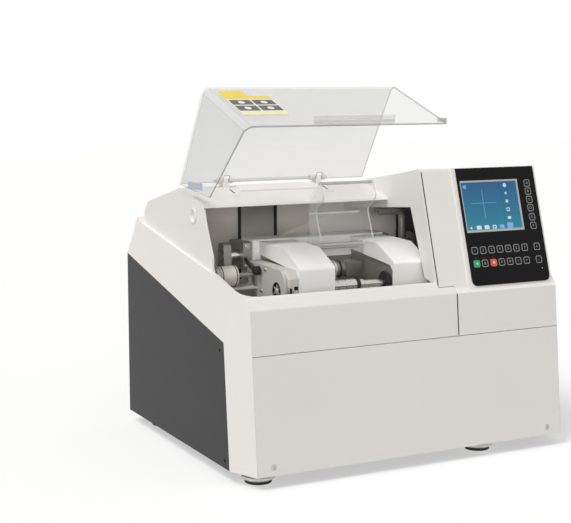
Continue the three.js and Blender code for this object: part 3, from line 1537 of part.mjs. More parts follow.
// Pipes: a round tube with an open bore along its route
function pipe(points, bend, radius, bore) {
  const run = (corners, around) => {
    const extrudePath = new Route(corners, bend);
    const steps = extrudePath.rings.length - 1;
    const shape = new THREE.Shape(circle(0, 0, around, smallSides));
    return solidOf(new THREE.ExtrudeGeometry(shape, { steps, extrudePath, bevelEnabled: false }));
  };
  const longer = points.map((point) => point.clone());
  const last = points.length - 1;
  longer[0].add(points[0].clone().sub(points[1]).setLength(overrun));
  longer[last].add(points[last].clone().sub(points[last - 1]).setLength(overrun));
  return run(points, radius).subtract(run(longer, bore));
}

const pipeEnd = bodyDepth + rearReach;
piece('coolant_pipe', pipe([
  new THREE.Vector3(coolantX, pipeEnd, coolantPortHeight),
  new THREE.Vector3(coolantX, coolantDepth, coolantPortHeight),
  new THREE.Vector3(coolantX, coolantDepth, coolantTop),
  new THREE.Vector3(coolantTipX, coolantDepth, coolantTop),
], coolantBend, coolantRadius, coolantBore), brightSteel);
piece('drain_pipe', pipe([
  new THREE.Vector3(drainX, pipeEnd, drainPortHeight),
  new THREE.Vector3(drainX, drainDepth, drainPortHeight),
  new THREE.Vector3(drainX, drainDepth, wellBottom + chamberWall),
], drainBend, drainRadius, drainBore), blackRubber);

// Power supply on the base pan
function powerSupply() {
  return box(supplyX, supplyX + supplyWidth, supplyFront, supplyFront + supplyDepth, panTop, panTop + supplyHeight);
}
piece('power_supply', powerSupply(), brightSteel);

export default machine;
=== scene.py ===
import math

import bmesh
import bpy
from mathutils import Matrix, Vector


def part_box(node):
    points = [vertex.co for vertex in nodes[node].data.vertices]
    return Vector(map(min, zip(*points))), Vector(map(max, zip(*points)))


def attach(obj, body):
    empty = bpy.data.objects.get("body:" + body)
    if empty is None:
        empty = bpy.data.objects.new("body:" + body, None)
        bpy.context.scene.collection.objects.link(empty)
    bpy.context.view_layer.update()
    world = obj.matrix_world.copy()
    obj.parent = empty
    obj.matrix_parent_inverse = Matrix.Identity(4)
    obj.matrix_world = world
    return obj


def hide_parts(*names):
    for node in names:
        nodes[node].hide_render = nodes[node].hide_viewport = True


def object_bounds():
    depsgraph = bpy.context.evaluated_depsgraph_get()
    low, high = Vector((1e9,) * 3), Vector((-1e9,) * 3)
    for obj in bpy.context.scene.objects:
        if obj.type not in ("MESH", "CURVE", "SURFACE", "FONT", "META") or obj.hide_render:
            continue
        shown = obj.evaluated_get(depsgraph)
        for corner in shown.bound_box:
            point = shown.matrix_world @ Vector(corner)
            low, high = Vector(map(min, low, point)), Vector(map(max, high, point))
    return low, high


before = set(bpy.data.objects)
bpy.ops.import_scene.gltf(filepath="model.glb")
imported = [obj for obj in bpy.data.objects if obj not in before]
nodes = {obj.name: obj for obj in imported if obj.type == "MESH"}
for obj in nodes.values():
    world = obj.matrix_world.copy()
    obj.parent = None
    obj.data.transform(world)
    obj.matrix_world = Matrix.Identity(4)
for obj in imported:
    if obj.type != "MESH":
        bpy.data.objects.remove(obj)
cad_low, cad_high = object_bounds()

# Camera. It stands in front of the machine and to its left, a little above its top, with a
# long lens, as a catalogue photographer would.
lens_length = 82.61
camera_place = (-1.1116, -1.9438, 0.6065)
camera_drop = 7.834
camera_turn = -27.256


def placed(name, data):
    """A new object of the scene."""
    thing = bpy.data.objects.new(name, data)
    bpy.context.scene.collection.objects.link(thing)
    return thing


camera_data = bpy.data.cameras.new("camera")
camera_data.lens = lens_length
camera = placed("camera", camera_data)
camera.location = camera_place
camera.rotation_euler = (math.radians(90 - camera_drop), 0, math.radians(camera_turn))
bpy.context.scene.camera = camera
bpy.context.scene.view_settings.view_transform = "Standard"


# Tools for materials
def linear(hex_colour):
    """An sRGB hex colour as linear red, green, blue and alpha."""
    shares = [int(hex_colour[start:start + 2], 16) / 255 for start in (1, 3, 5)]
    return [s / 12.92 if s <= 0.04045 else ((s + 0.055) / 1.055) ** 2.4 for s in shares] + [1]


def add(tree, kind, sockets=None, **settings):
    """Adds a node, sets its settings, and sets or links its input sockets."""
    node = tree.nodes.new("ShaderNode" + kind)
    for name, value in settings.items():
        setattr(node, name, value)
    for name, value in (sockets or {}).items():
        if isinstance(value, bpy.types.NodeSocket):
            tree.links.new(value, node.inputs[name])
        else:
            node.inputs[name].default_value = value
    return node


def new_material(name):
    """An empty node material and its tree."""
    material = bpy.data.materials.new(name)
    material.use_nodes = True
    material.node_tree.nodes.clear()
    return material, material.node_tree


def seen_share(tree, share):
    """A share of light that only the camera, mirrors and glass see, and that lights nothing."""
    rays = add(tree, "LightPath")
    direct = add(tree, "Math", {0: rays.outputs["Is Camera Ray"], 1: rays.outputs["Is Glossy Ray"]},
                 operation="MAXIMUM")
    seen = add(tree, "Math", {0: direct.outputs[0], 1: rays.outputs["Is Transmission Ray"]},
               operation="MAXIMUM")
    return add(tree, "Math", {0: seen.outputs[0], 1: share}, operation="MULTIPLY").outputs[0]


# Studio. A matt white sheet lies under the machine and runs out past the view. The sky of a
# white tent lights it from all round, and two soft lamps stand on its left and in front.
paper_lift = 0.5
floor_reach = 9
tent_strength = 0.4

# The paper is lifted to plain white where nothing shades it, and keeps the machine's shadow
paper, tree = new_material("studio_paper")
paper_diffuse = add(tree, "BsdfDiffuse", {"Color": linear("#BCBCBC")})
paper_glow = add(tree, "Emission", {"Strength": seen_share(tree, paper_lift)})
paper_white = add(tree, "AddShader", {0: paper_diffuse.outputs[0], 1: paper_glow.outputs[0]})
add(tree, "OutputMaterial", {"Surface": paper_white.outputs[0]})

floor_mesh = bmesh.new()
bmesh.ops.create_grid(floor_mesh, x_segments=1, y_segments=1, size=floor_reach)
floor_data = bpy.data.meshes.new("studio_floor")
floor_mesh.to_mesh(floor_data)
floor_mesh.free()
floor_data.materials.append(paper)
floor = placed("studio_floor", floor_data)

world = bpy.data.worlds.new("white_tent")
bpy.context.scene.world = world
world.use_nodes = True
tree = world.node_tree
tree.nodes.clear()
tent_light = add(tree, "Background", {"Color": linear("#FFFDFA"), "Strength": tent_strength})
tent_seen = add(tree, "Background", {"Color": linear("#FFFFFF"), "Strength": 1})
tent = add(tree, "MixShader", {
    0: seen_share(tree, 1), 1: tent_light.outputs[0], 2: tent_seen.outputs[0],
})
add(tree, "OutputWorld", {"Surface": tent.outputs[0]})

# The key lamp is high on the left, and a weaker one in front fills the open chamber
for name, energy, angle, lamp_from in (("key_lamp", 2, 28, (-0.5, -0.12, 0.86)),
                                       ("fill_lamp", 0.85, 20, (-0.42, -0.88, 0.14))):
    lamp_data = bpy.data.lights.new(name, "SUN")
    lamp_data.energy = energy
    lamp_data.angle = math.radians(angle)
    lamp = placed(name, lamp_data)
    lamp.rotation_euler = Vector(lamp_from).to_track_quat("Z", "Y").to_euler()

# Tools for pieces, which are built in millimetres with depths from the machine's front edge
millimetre = 0.001
front_edge = cad_low.y
bench = Matrix.Translation((0, front_edge, 0)) @ Matrix.Scale(millimetre, 4)


def surface(name, tones, patch, roughness, grain=0.8, relief=0.01, spread=0.05, stretch=(1, 1, 1),
            **shader):
    """A finish that drifts between two tones in patches, with a grain in its gloss and relief.
    Patch, grain and relief are in millimetres, and stretch draws the grain out along an axis."""
    material, tree = new_material(name)
    place = add(tree, "TexCoord").outputs["Object"]
    drift = add(tree, "TexNoise", {"Vector": place, "Scale": 1 / (patch * millimetre), "Detail": 3})
    tone = add(tree, "Mix", {0: drift.outputs[0], 6: linear(tones[0]), 7: linear(tones[1])},
               data_type="RGBA")
    laid = add(tree, "Mapping", {"Vector": place, "Scale": stretch}).outputs[0]
    fine = add(tree, "TexNoise", {"Vector": laid, "Scale": 1 / (grain * millimetre), "Detail": 2})
    gloss = add(tree, "MapRange", {0: fine.outputs[0], 3: roughness - spread, 4: roughness + spread})
    bump = add(tree, "Bump", {"Height": fine.outputs[0], "Distance": relief * millimetre})
    skin = add(tree, "BsdfPrincipled", {
        "Base Color": tone.outputs[2], "Roughness": gloss.outputs[0], "Normal": bump.outputs[0],
        **{socket.replace("_", " "): value for socket, value in shader.items()},
    })
    add(tree, "OutputMaterial", {"Surface": skin.outputs[0]})
    return material


def beveled(part, picked, radius, segments, affect="EDGES", finish=-1):
    """Bevels picked edges or corners. Finish is the index of the new faces' material."""
    bmesh.ops.bevel(part, geom=picked, offset=radius, offset_type="OFFSET", segments=segments,
                    profile=0.5, affect=affect, clamp_overlap=True, material=finish)
    return part


def sharp_edges(part, angle):
    """The edges where two faces meet at more than an angle in degrees."""
    return [edge for edge in part.edges
            if len(edge.link_faces) == 2 and edge.calc_face_angle() > math.radians(angle)]


def rounded(part, radius, segments=2, angle=25):
    """Rounds the part's sharp edges."""
    return beveled(part, sharp_edges(part, angle), radius, segments)


def copied(node):
    """The CAD node's mesh as one closed skin in millimetres, its flat faces joined up."""
    weld = 0.02
    flat_angle = math.radians(0.5)
    part = bmesh.new()
    part.from_mesh(nodes[node].data)
    bmesh.ops.transform(part, matrix=bench.inverted(), verts=part.verts)
    bmesh.ops.remove_doubles(part, verts=part.verts, dist=weld)
    bmesh.ops.dissolve_degenerate(part, dist=weld, edges=part.edges)
    bmesh.ops.dissolve_limit(part, angle_limit=flat_angle, verts=part.verts, edges=part.edges)
    return part


def finished(name, parts, material, body, replaced=(), place=bench, sheet=0):
    """Joins parts built in millimetres into one piece that rides on a body of the machine. Sheet
    gives an open skin a wall of that thickness, and its cut edges take any second material."""
    sharp_angle = math.radians(32)
    whole = bmesh.new()
    for part in parts:
        shared = bpy.data.meshes.new("part")
        part.to_mesh(shared)
        part.free()
        whole.from_mesh(shared)
        bpy.data.meshes.remove(shared)
    bmesh.ops.transform(whole, matrix=place, verts=whole.verts)
    data = bpy.data.meshes.new(name)
    whole.to_mesh(data)
    whole.free()
    for face in data.polygons:
        face.use_smooth = True
    data.set_sharp_from_angle(angle=sharp_angle)
    for each in material if isinstance(material, list) else [material]:
        data.materials.append(each)
    thing = placed(name, data)
    if sheet:
        wall = thing.modifiers.new("sheet", "SOLIDIFY")
        wall.thickness = sheet * millimetre
        wall.use_even_offset = True
        wall.material_offset_rim = 1
    flat = thing.modifiers.new("flat_faces", "WEIGHTED_NORMAL")
    flat.keep_sharp = True
    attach(thing, body)
    if replaced:
        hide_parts(*replaced)


def dressed(node, suffix, material, body, radius, segments=2, angle=25):
    """The CAD node's own shape as a finished piece, with its sharp edges rounded."""
    shape = rounded(copied(node), radius, segments, angle)
    finished(node + suffix, [shape], material, body, [node])


def turned(profile, base, axis=(1, 0, 0), steps=48):
    """A solid of revolution from (distance along the axis, radius) pairs, starting at base."""
    part = bmesh.new()
    line = [part.verts.new((radius, 0, reach)) for reach, radius in profile]
    edges = [part.edges.new(pair) for pair in zip(line, line[1:])]
    bmesh.ops.spin(part, geom=line + edges, cent=(0, 0, 0), axis=(0, 0, 1), angle=2 * math.pi,
                   steps=steps, use_merge=True)
    bmesh.ops.remove_doubles(part, verts=part.verts, dist=0.001)
    bmesh.ops.recalc_face_normals(part, faces=part.faces)
    turn = Vector(axis).to_track_quat("Z", "X").to_matrix().to_4x4()
    bmesh.ops.transform(part, matrix=Matrix.Translation(base) @ turn, verts=part.verts)
    return part


def moved(part, reach):
    """Moves the whole part by a vector."""
    bmesh.ops.translate(part, verts=part.verts, vec=reach)
    return part


def carried(part, swept, reach):
    """Moves the corners that a sweep has just added by a vector."""
    far = [corner for corner in swept["geom"] if isinstance(corner, bmesh.types.BMVert)]
    bmesh.ops.translate(part, verts=far, vec=reach)


def hoop(inner, outer, width, base, axis=(1, 0, 0), steps=48):
    """A ring of rectangular section between two radii."""
    profile = [(0, inner), (0, outer), (width, outer), (width, inner), (0, inner)]
    return turned(profile, base, axis, steps)


def drawn_out(part, reach):
    """Draws the part's flat faces out along a vector into a solid."""
    carried(part, bmesh.ops.extrude_face_region(part, geom=part.faces[:]), reach)
    bmesh.ops.recalc_face_normals(part, faces=part.faces)
    return part


def divided(part, point, normal):
    """Splits the part's faces along a plane."""
    everything = part.verts[:] + part.edges[:] + part.faces[:]
    bmesh.ops.bisect_plane(part, geom=everything, plane_co=point, plane_no=normal)


def prism(points, left, right):
    """A block across the machine whose outline is given in depth and height."""
    part = bmesh.new()
    part.faces.new([part.verts.new((left, depth, height)) for depth, height in points])
    return drawn_out(part, (right - left, 0, 0))


def block(low, high, radius=0):
    """A block between its lowest and highest corners, its edges rounded."""
    part = bmesh.new()
    bmesh.ops.create_cube(part, size=1)
    size = Vector(high) - Vector(low)
    bmesh.ops.scale(part, verts=part.verts, vec=size)
    moved(part, Vector(low) + size / 2)
    return rounded(part, radius) if radius else part


def cap_screw(base, axis, radius, height):
    """A socket-head cap screw with its washer, standing on base and pointing along axis."""
    washer = radius * 1.5
    socket = radius * 0.55
    bottom = height * 0.45
    profile = [(0, 0), (0, washer), (0.8, washer), (0.8, radius), (height - 0.5, radius),
               (height, radius - 0.5), (height, socket), (bottom, radius * 0.5), (bottom, 0)]
    return turned(profile, base, axis, steps=24)


# Moulded covers. The casing is two thick moulded covers, split by a seam beside the mouth, and
# a separate leaning front panel below. They are warm off-white ABS with a fine spark texture.
moulding = surface("moulded_abs_offwhite", ("#EAE7E3", "#E4E1DD"), patch=160, grain=1.2, relief=0.02,
                   roughness=0.42)
for node, radius in (("main_cover", 1.5), ("console_cover", 1.5), ("front_panel", 0.8)):
    dressed(node, "_moulding", moulding, "cabinet", radius, segments=3)

# Cover plug. It is a snap-in cap of the same moulding in the cabinet's left wall, with a dished
# face and a rim. It closes the hole where a tool reaches the hood's hinge.
plug_inset = 15
plug_seat = (cad_low.x / millimetre + plug_inset, 219, 394)
plug_profile = [(3.2, 0), (3.2, 9.8), (0, 9.8), (-0.3, 13), (-1.2, 12.9), (-1.8, 12.2), (-1.8, 11.2),
                (-1.2, 9), (2.4, 8.6), (2.6, 0)]
finished("cover_plug_cap", [turned(plug_profile, plug_seat)], moulding, "cabinet",
         ["cover_plug"])

# Side panels, rear panel and base pan. They are folded steel sheet, powder coated in dark grey.
# The coat has a fine orange peel and it is a little worn to a lighter tone in places.
powder_coat = surface("powder_coated_steel_graphite", ("#2E2E2F", "#282829"), patch=90, grain=1.6,
                      relief=0.05, roughness=0.5, spread=0.08, Specular_IOR_Level=0.3)
sheet_edge = 0.5
for node in ("left_side_panel", "right_side_panel", "rear_panel", "base_pan"):
    dressed(node, "_sheet", powder_coat, "cabinet", sheet_edge)

# Screws. The front ones are bright zinc-plated socket screws, and those of the side panels are
# blackened. Each sits in a countersink and has a socket in its crown.
zinc = surface("zinc_plated_steel", ("#C9C9C6", "#B5B5B2"), patch=6, roughness=0.3, Metallic=1)
black_oxide = surface("black_oxide_steel", ("#1C1C1D", "#262627"), patch=6, roughness=0.35, Metallic=0.6)
screw_crown = 0.3
screw_profile = [(-8, 0), (-8, 2), (-2.2, 2), (0.1, 4.9), (screw_crown, 4.6), (screw_crown, 2.6),
                 (-1.4, 2.4), (-1.6, 0)]
lean = math.radians(5.5)
front_foot = 20
front_out = (0, -math.cos(lean), math.sin(lean))
front_screw_height = 33
side_screw_depth = 69.5
for node, x in (("front_screw_left", -256), ("front_screw_right", 256)):
    seat = (x, (front_screw_height - front_foot) * math.tan(lean), front_screw_height)
    finished(node + "_head", [turned(screw_profile, seat, front_out)], zinc, "cabinet", [node])


def side_screw(side, height):
    """A screw level with the left (-1) or right (1) panel, near its leaning front edge."""
    x = side * (cad_high.x / millimetre - screw_crown)
    depth = side_screw_depth + (height - front_foot) * math.tan(lean)
    return turned(screw_profile, (x, depth, height), (side, 0, 0))


side_screw_heights = (32, 201)
for node, height in zip(("side_screw_lower", "side_screw_upper"), side_screw_heights):
    finished(node + "_head", [side_screw(-1, height)], black_oxide, "cabinet", [node])

# Levelling feet. Each is a knurled disc of pale zinc alloy on a threaded stud, with a rubber
# sole pressed into its underside. The disc's tone is partly the alloy's own and partly painted
# light, lifted against the shade under the cabinet.
foot_alloy_and_light = surface("cast_zinc_foot_painted_light", ("#E2DFD9", "#D2CFC9"), patch=12, grain=0.9, relief=0.04,
                     roughness=0.42, Metallic=0.5)
rubber = surface("black_rubber", ("#191817", "#22211F"), patch=15, grain=0.9, relief=0.04,
                 roughness=0.75)
knurl_count = 56
knurl_share = 0.972
rim_radius = 25
foot_profile = [(4.5, 0), (4.5, 21), (6.5, 24.2), (7.5, 26), (11.5, 26), (12.6, 24.6), (14.5, 22),
                (19.6, 20.8), (19.6, 4), (30, 4), (30, 0)]
sole_profile = [(0, 0), (0, 20.2), (0.8, 21), (4.4, 21), (4.4, 0)]
for node, x, depth in (("foot_front_left", -260, 47), ("foot_front_right", 146, 47),
                       ("foot_rear_left", -260, 430), ("foot_rear_right", 146, 430)):
    disc = turned(foot_profile, (0, 0, 0), (0, 0, 1), steps=2 * knurl_count)
    for vert in disc.verts:
        step = round(math.atan2(vert.co.y, vert.co.x) / math.pi * knurl_count)
        if step % 2 and vert.co.xy.length > rim_radius:
            vert.co.xy = vert.co.xy * knurl_share
    finished(node + "_disc", [moved(disc, (x, depth, 0))], foot_alloy_and_light, "cabinet", [node])
    sole = turned(sole_profile, (x, depth, 0), (0, 0, 1))
    finished(node + "_sole", [sole], rubber, "cabinet")

# Control panel. A membrane keypad of glossy black polyester film is stuck on the console's
# raised plateau. The film is printed from behind and it has a window for the display.
panel_film = surface("polyester_film_gloss_black", ("#0A0A0B", "#101011"), patch=60, grain=2,
                     roughness=0.2, spread=0.04, Specular_IOR_Level=0.12)
dressed("control_panel", "_film", panel_film, "cabinet", radius=0.3)

film_face = -3.5
ink_thickness = 0.12
panel_lean = math.radians(17)
panel_foot = (31, 276)
on_panel = bench @ Matrix.Translation((119, *panel_foot)) @ Matrix.Rotation(-panel_lean, 4, "X")
facing_out = Matrix.Rotation(math.radians(90), 4, "X")


def printed(part, x, z, lift=0, thickness=ink_thickness):
    """Gives a flat shape its ink thickness and lays it on the film, seen from the front."""
    drawn_out(part, (0, 0, thickness))
    seat = Matrix.Translation((x, film_face - lift, z)) @ facing_out
    bmesh.ops.transform(part, matrix=seat, verts=part.verts)
    return part


def plaque(width, height, radius=0, line=0):
    """A flat rectangle with rounded corners, or only its outline where line gives a width."""
    part = bmesh.new()
    bmesh.ops.create_grid(part, x_segments=1, y_segments=1, size=0.5)
    bmesh.ops.scale(part, vec=(width, height, 1), verts=part.verts)
    if radius:
        beveled(part, part.verts[:], radius, 3, "VERTICES")
    if line:
        middle = part.faces[:]
        bmesh.ops.inset_individual(part, faces=middle, thickness=line, use_even_offset=True)
        bmesh.ops.delete(part, geom=middle, context="FACES")
    return part


def spot(radius, corners=20, turn=0):
    """A flat disc, or a triangle or diamond with fewer corners."""
    part = bmesh.new()
    bmesh.ops.create_circle(part, cap_ends=True, segments=corners, radius=radius)
    bmesh.ops.rotate(part, verts=part.verts, cent=(0, 0, 0),
                     matrix=Matrix.Rotation(math.radians(turn), 3, "Z"))
    return part


def numeral(text, height):
    """A flat number, letter or sign, centred."""
    curve = bpy.data.curves.new("numeral", "FONT")
    curve.body = text
    curve.size = height
    curve.align_x = "CENTER"
    curve.align_y = "CENTER"
    letter = bpy.data.objects.new("numeral", curve)
    drawn = bpy.data.meshes.new_from_object(letter)
    part = bmesh.new()
    part.from_mesh(drawn)
    bmesh.ops.remove_doubles(part, verts=part.verts, dist=0.001)
    bpy.data.objects.remove(letter)
    bpy.data.curves.remove(curve)
    bpy.data.meshes.remove(drawn)
    return part


# Key legends are printed in grey ink: a thin frame round each key, and a plain number, letter
# or sign in it. The two solid keys have their places in the lower row.
key_size = 12
key_corner = 2.5
key_line = 1
key_row_low = 36.4
key_row_high = 58.2
key_columns = (13.8, 30.5, 47.3, 64.2, 81, 97.7, 114.8)
key_column_right = 140
soft_key_heights = (167, 153, 138.7, 124.6, 108.9, 94)
legend_height = 6.5
lower_signs = " 8 90<>"
legends = [(x, key_row_high, sign) for x, sign in zip(key_columns, "1234567")]
legends += [(x, key_row_low, sign) for x, sign in zip(key_columns, lower_signs) if sign != " "]
legends += [(key_column_right, key_row_high, "+"), (key_column_right, key_row_low, "-")]
legends += [(key_column_right, z, sign) for z, sign in zip(soft_key_heights, "ABCDEF")]
grey_ink = surface("screen_printed_ink_grey", ("#A6A6A8", "#8E8E90"), patch=20, grain=0.6, roughness=0.5)
frames = [printed(plaque(key_size, key_size, key_corner, key_line), x, z) for x, z, sign in legends]
signs = [printed(numeral(sign, legend_height), x, z) for x, z, sign in legends]
finished("key_legends", frames + signs, grey_ink, "cabinet", place=on_panel)

# Pilot lights show through small clear dots in the film, three red ones over the lower row
# and a pale one in the corner
pilot_size = 0.9
pilot_row = 46
pale_pilot_place = (144.2, 21.3)
red_lens = surface("red_pilot_lens", ("#B3261C", "#8F1E16"), patch=4, grain=0.5, roughness=0.25)
pale_lens = surface("pale_pilot_lens", ("#D8DCE0", "#B9BEC4"), patch=4, grain=0.5, roughness=0.25)
red_pilots = [printed(spot(pilot_size), x, pilot_row) for x in (13.4, 30.4, 47.2)]
finished("red_pilots", red_pilots, red_lens, "cabinet", place=on_panel)
pale_pilot = printed(spot(pilot_size), *pale_pilot_place)
finished("pale_pilot", [pale_pilot], pale_lens, "cabinet", place=on_panel)

# Start and stop keys. They are moulded caps, green and red, that stand just proud of the film,
# each with its own printed sign: a triangle to start and a square to stop.
green_cap = surface("moulded_key_green", ("#35A76C", "#2C985F"), patch=8, grain=0.6, roughness=0.35)
red_cap = surface("moulded_key_red", ("#E25A4A", "#D24B3D"), patch=8, grain=0.6, roughness=0.35)
white_ink = surface("screen_printed_ink_white", ("#E4E6E6", "#D6D8D8"), patch=20, grain=0.6,
                    roughness=0.5)
cap_edge = 0.7
cap_rise = 1.6
sign_size = 2.4
for node, cap, slot, x, corners, turn in (("start_key", green_cap, "green_key", key_columns[0], 3, 0),
                                          ("stop_key", red_cap, "red_key", key_columns[2], 4, 45)):
    dressed(node, "_cap", cap, node, cap_edge, segments=3)
    sign = printed(spot(sign_size, corners, turn), x, key_row_low, cap_rise)
    finished(node + "_sign", [sign], white_ink, node, place=on_panel)

# Display. A backlit colour LCD in a pressed, nickel-plated bezel looks out through the film's
# window. Its picture is a sizing cross, a column of signs on the right and a row below.
nickel = surface("nickel_plated_bezel", ("#B9BABC", "#A2A4A6"), patch=30, grain=1, roughness=0.3,
                 Metallic=0.8)
bezel_edge = 0.5
finished("display_bezel", [rounded(copied("display_module"), bezel_edge)], nickel, "cabinet",
         ["display_module"])
picture_low = 365
picture_high = 441
pixel_scale = 160
picture_lift = 0.2


def lit(name, tones, glow):
    """A backlit picture whose tone runs up the panel, with faint upright lines of pixels, drawn
    2 mm apart because the real ones don't show."""
    material, tree = new_material(name)
    place = add(tree, "TexCoord").outputs["Object"]
    up = add(tree, "SeparateXYZ", {0: place}).outputs["Z"]
    rise = add(tree, "MapRange", {0: up, 1: picture_low * millimetre, 2: picture_high * millimetre})
    tone = add(tree, "Mix", {0: rise.outputs[0], 6: linear(tones[0]), 7: linear(tones[1])},
               data_type="RGBA")
    lines = add(tree, "TexWave", {"Vector": place, "Scale": pixel_scale}, bands_direction="X")
    shade = add(tree, "MapRange", {0: lines.outputs["Fac"], 3: 0.94, 4: 1})
    screened = add(tree, "VectorMath", {0: tone.outputs[2], 1: shade.outputs[0]}, operation="MULTIPLY")
    skin = add(tree, "BsdfPrincipled", {
        "Base Color": linear("#0C1418"), "Roughness": 0.22, "Specular IOR Level": 0.2,
        "Emission Color": screened.outputs[0], "Emission Strength": glow,
    })
    add(tree, "OutputMaterial", {"Surface": skin.outputs[0]})
    return material


def shown(name, shapes, picture):
    """Flat shapes on the display, each with its place across and up the panel."""
    laid = [printed(shape, x, z, picture_lift) for shape, x, z in shapes]
    finished(name, laid, picture, "cabinet", place=on_panel)


picture = lit("backlit_lcd_blue", ("#2F8AA0", "#2F5F90"), 0.85)
signs_white = lit("backlit_lcd_white", ("#D5ECF5", "#BFDCEC"), 0.9)
signs_blue = lit("backlit_lcd_sky", ("#7DB9E6", "#6FA9DA"), 0.9)
signs_dark = lit("backlit_lcd_navy", ("#2B6E8C", "#2B527E"), 0.9)
glass = printed(plaque(110.5, 80, 0.5), 61.8, 131.9, thickness=picture_lift)
finished("display_picture", [glass], picture, "cabinet", place=on_panel)
shown("display_cross", [(plaque(51, 0.7), 46.1, 136.5), (plaque(0.7, 48.5), 45.6, 134.2),
                        (spot(3.4), 12.8, 164.5)], signs_blue)

column_x = 93.4
column_heights = (165, 151.6, 137.8, 123.8, 109.8)
rulings = [(plaque(32, 0.6), 101, (low + high) / 2)
           for low, high in zip(column_heights[1:], column_heights)]
shown("display_rulings", rulings + [(plaque(0.6, 64), 84.5, 137.5)], signs_dark)
column_signs = (spot(3.6, 10), spot(3.2, 3, 90), spot(3.4, 4, 45), plaque(6.4, 6.4, 1.5, 1.2),
                plaque(6.8, 4.6, 1))
row_z = 95.8
row_signs = [(plaque(9.5, 6.4, 1), 29.5, row_z), (plaque(9.5, 6.4, 1), 45.3, row_z),
             (plaque(8, 6, 1.4, 1.6), 60.7, row_z), (spot(3, 3, 90), 14.1, row_z)]
marks = [(sign, column_x, z) for sign, z in zip(column_signs, column_heights)]
shown("display_signs", marks + row_signs, signs_white)
tiles = [(plaque(9, 6.2, 0.8), 75.9, row_z), (plaque(11.5, 9.5, 0.8), 92.5, 97)]
shown("display_tiles", tiles, signs_blue)

# Grinding chamber. The tray is one aluminium casting in a tough warm-grey satin paint that
# stands up to coolant, drawn far paler than that grey as painted light against the chamber's
# shade. The same paint covers the sheet that lines the cabinet's left wall.
chamber_paint_and_light = surface("satin_epoxy_paint_with_painted_light", ("#EDE7E0", "#E4DDD6"), patch=120, grain=1.4,
                        relief=0.03, roughness=0.34, spread=0.06)
tray_edge = 1.2
dressed("chamber_tray", "_casting", chamber_paint_and_light, "cabinet", tray_edge, segments=3)
wall_inside = -287
liner_outline = [(140, 300), (181, 406), (270, 429), (329, 415), (329, 269), (128, 269)]
liner = prism(liner_outline, wall_inside + 0.3, wall_inside + 1.5)
finished("chamber_liner", [liner], chamber_paint_and_light, "cabinet")

# Two dark rubber gaskets close the joints between the three plates of the chamber's back
gasket_width = 5
gaskets = [block((left, 326.8, 268), (left + gasket_width, 329.9, 403), 0.6) for left in (-159.5, -90.5)]
finished("chamber_gaskets", gaskets, rubber, "cabinet")

# A ribbed rubber mat lies on the chamber's floor to the left of the carriage, and keeps the
# swarf off the paint
rib_width = 5
rib_spacing = 8
mat_ribs = [block((-262, depth, 207), (-206, depth + rib_width, 209.5), 0.8)
            for depth in range(70, 218, rib_spacing)]
mat = block((-264, 66, 206.9), (-204, 222, 208.2), 0.5)
finished("chamber_mat", [mat] + mat_ribs, rubber, "cabinet")

# Grinding wheels. Each is a steel body with a sintered diamond rim in bronze: coarse for
# roughing, then the bevel wheel with its V groove and a polishing wheel in resin.
bond_rough = surface("sintered_bronze_diamond_coarse", ("#8E7C60", "#7C6B50"), patch=7, relief=0.3,
                     roughness=0.62, Metallic=0.6)
bond_fine = surface("sintered_bronze_diamond_fine", ("#A08D6C", "#93805F"), patch=9, grain=0.6,
                    relief=0.12, roughness=0.5, Metallic=0.7)
bond_polish = surface("resin_diamond_polishing", ("#6F6A63", "#625D57"), patch=9, grain=0.6, relief=0.06,
                      roughness=0.45)
spindle_axis = (140, 180)
for node, bond in (("roughing_wheel", bond_rough), ("bevel_wheel", bond_fine),
                   ("polishing_wheel", bond_polish)):
    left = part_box(node)[0].x / millimetre
    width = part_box(node)[1].x / millimetre - left
    side = [(0, 10.3), (0, 24), (1.5, 26), (1.5, 50), (0, 52), (0, 59.2), (0.8, 60)]
    far_side = [(width - reach, radius) for reach, radius in reversed(side)]
    groove = [(width / 2 - 1.5, 60), (width / 2, 58.5), (width / 2 + 1.5, 60)]
    profile = side + (groove if node == "bevel_wheel" else []) + far_side + side[:1]
    finished(node + "_rim", [turned(profile, (left, *spindle_axis), steps=96)], bond, "spindle",
             [node])

# Bright turned and ground steel: the spindle with its nut, the pivot shaft and the guard's rod.
# Fine grinding marks run round them.
ground_steel = surface("ground_stainless_steel", ("#CFCECB", "#BEBDBA"), patch=20, grain=0.7,
                       roughness=0.2, stretch=(6, 1, 1), Metallic=1)
for node, body, edge in (("wheel_spindle", "spindle", 0.8), ("pivot_shaft", "cabinet", 0.8),
                         ("guard_rod", "carriage", 0.4)):
    dressed(node, "_steel", ground_steel, body, edge, angle=40)

# Sand-cast and blasted aluminium: the spindle's housing, the posts, the slider, the carriage's
# own casting and the pulleys. It is matt and light grey, with a cast grain.
cast_aluminium = surface("blasted_cast_aluminium", ("#A8A39C", "#98938C"), patch=30, grain=0.9,
                         relief=0.08, roughness=0.5, spread=0.07, Metallic=0.55)
for node, body, edge in (("spindle_housing", "cabinet", 1.2), ("left_shaft_post", "cabinet", 1.2),
                         ("right_shaft_post", "cabinet", 1.2), ("carriage_slider", "slider", 1.2),
                         ("carriage_frame", "carriage", 1.5), ("spindle_pulley", "spindle", 0.5),
                         ("motor_pulley", "motor_shaft", 0.5), ("lens_pulley", "lens_shaft", 0.3),
                         ("lens_motor_pulley", "lens_motor_shaft", 0.3)):
    dressed(node, "_casting", cast_aluminium, body, edge, angle=40)

# The posts are screwed to the chamber's floor from the front, and the slider's collars are
# clamped round their sleeve, each by two socket screws
to_front = (0, -1, 0)
post_screws = [cap_screw((x, 226.6, z), to_front, radius=3.4, height=3.6)
               for x in (-223.3, 141) for z in (224, 246)]
finished("post_screws", post_screws, zinc, "cabinet")
collar_screws = [cap_screw((x, 226.8, z), to_front, radius=3, height=3)
                 for x in (-190.8, 73.8) for z in (306, 338)]
finished("collar_screws", collar_screws, zinc, "slider")

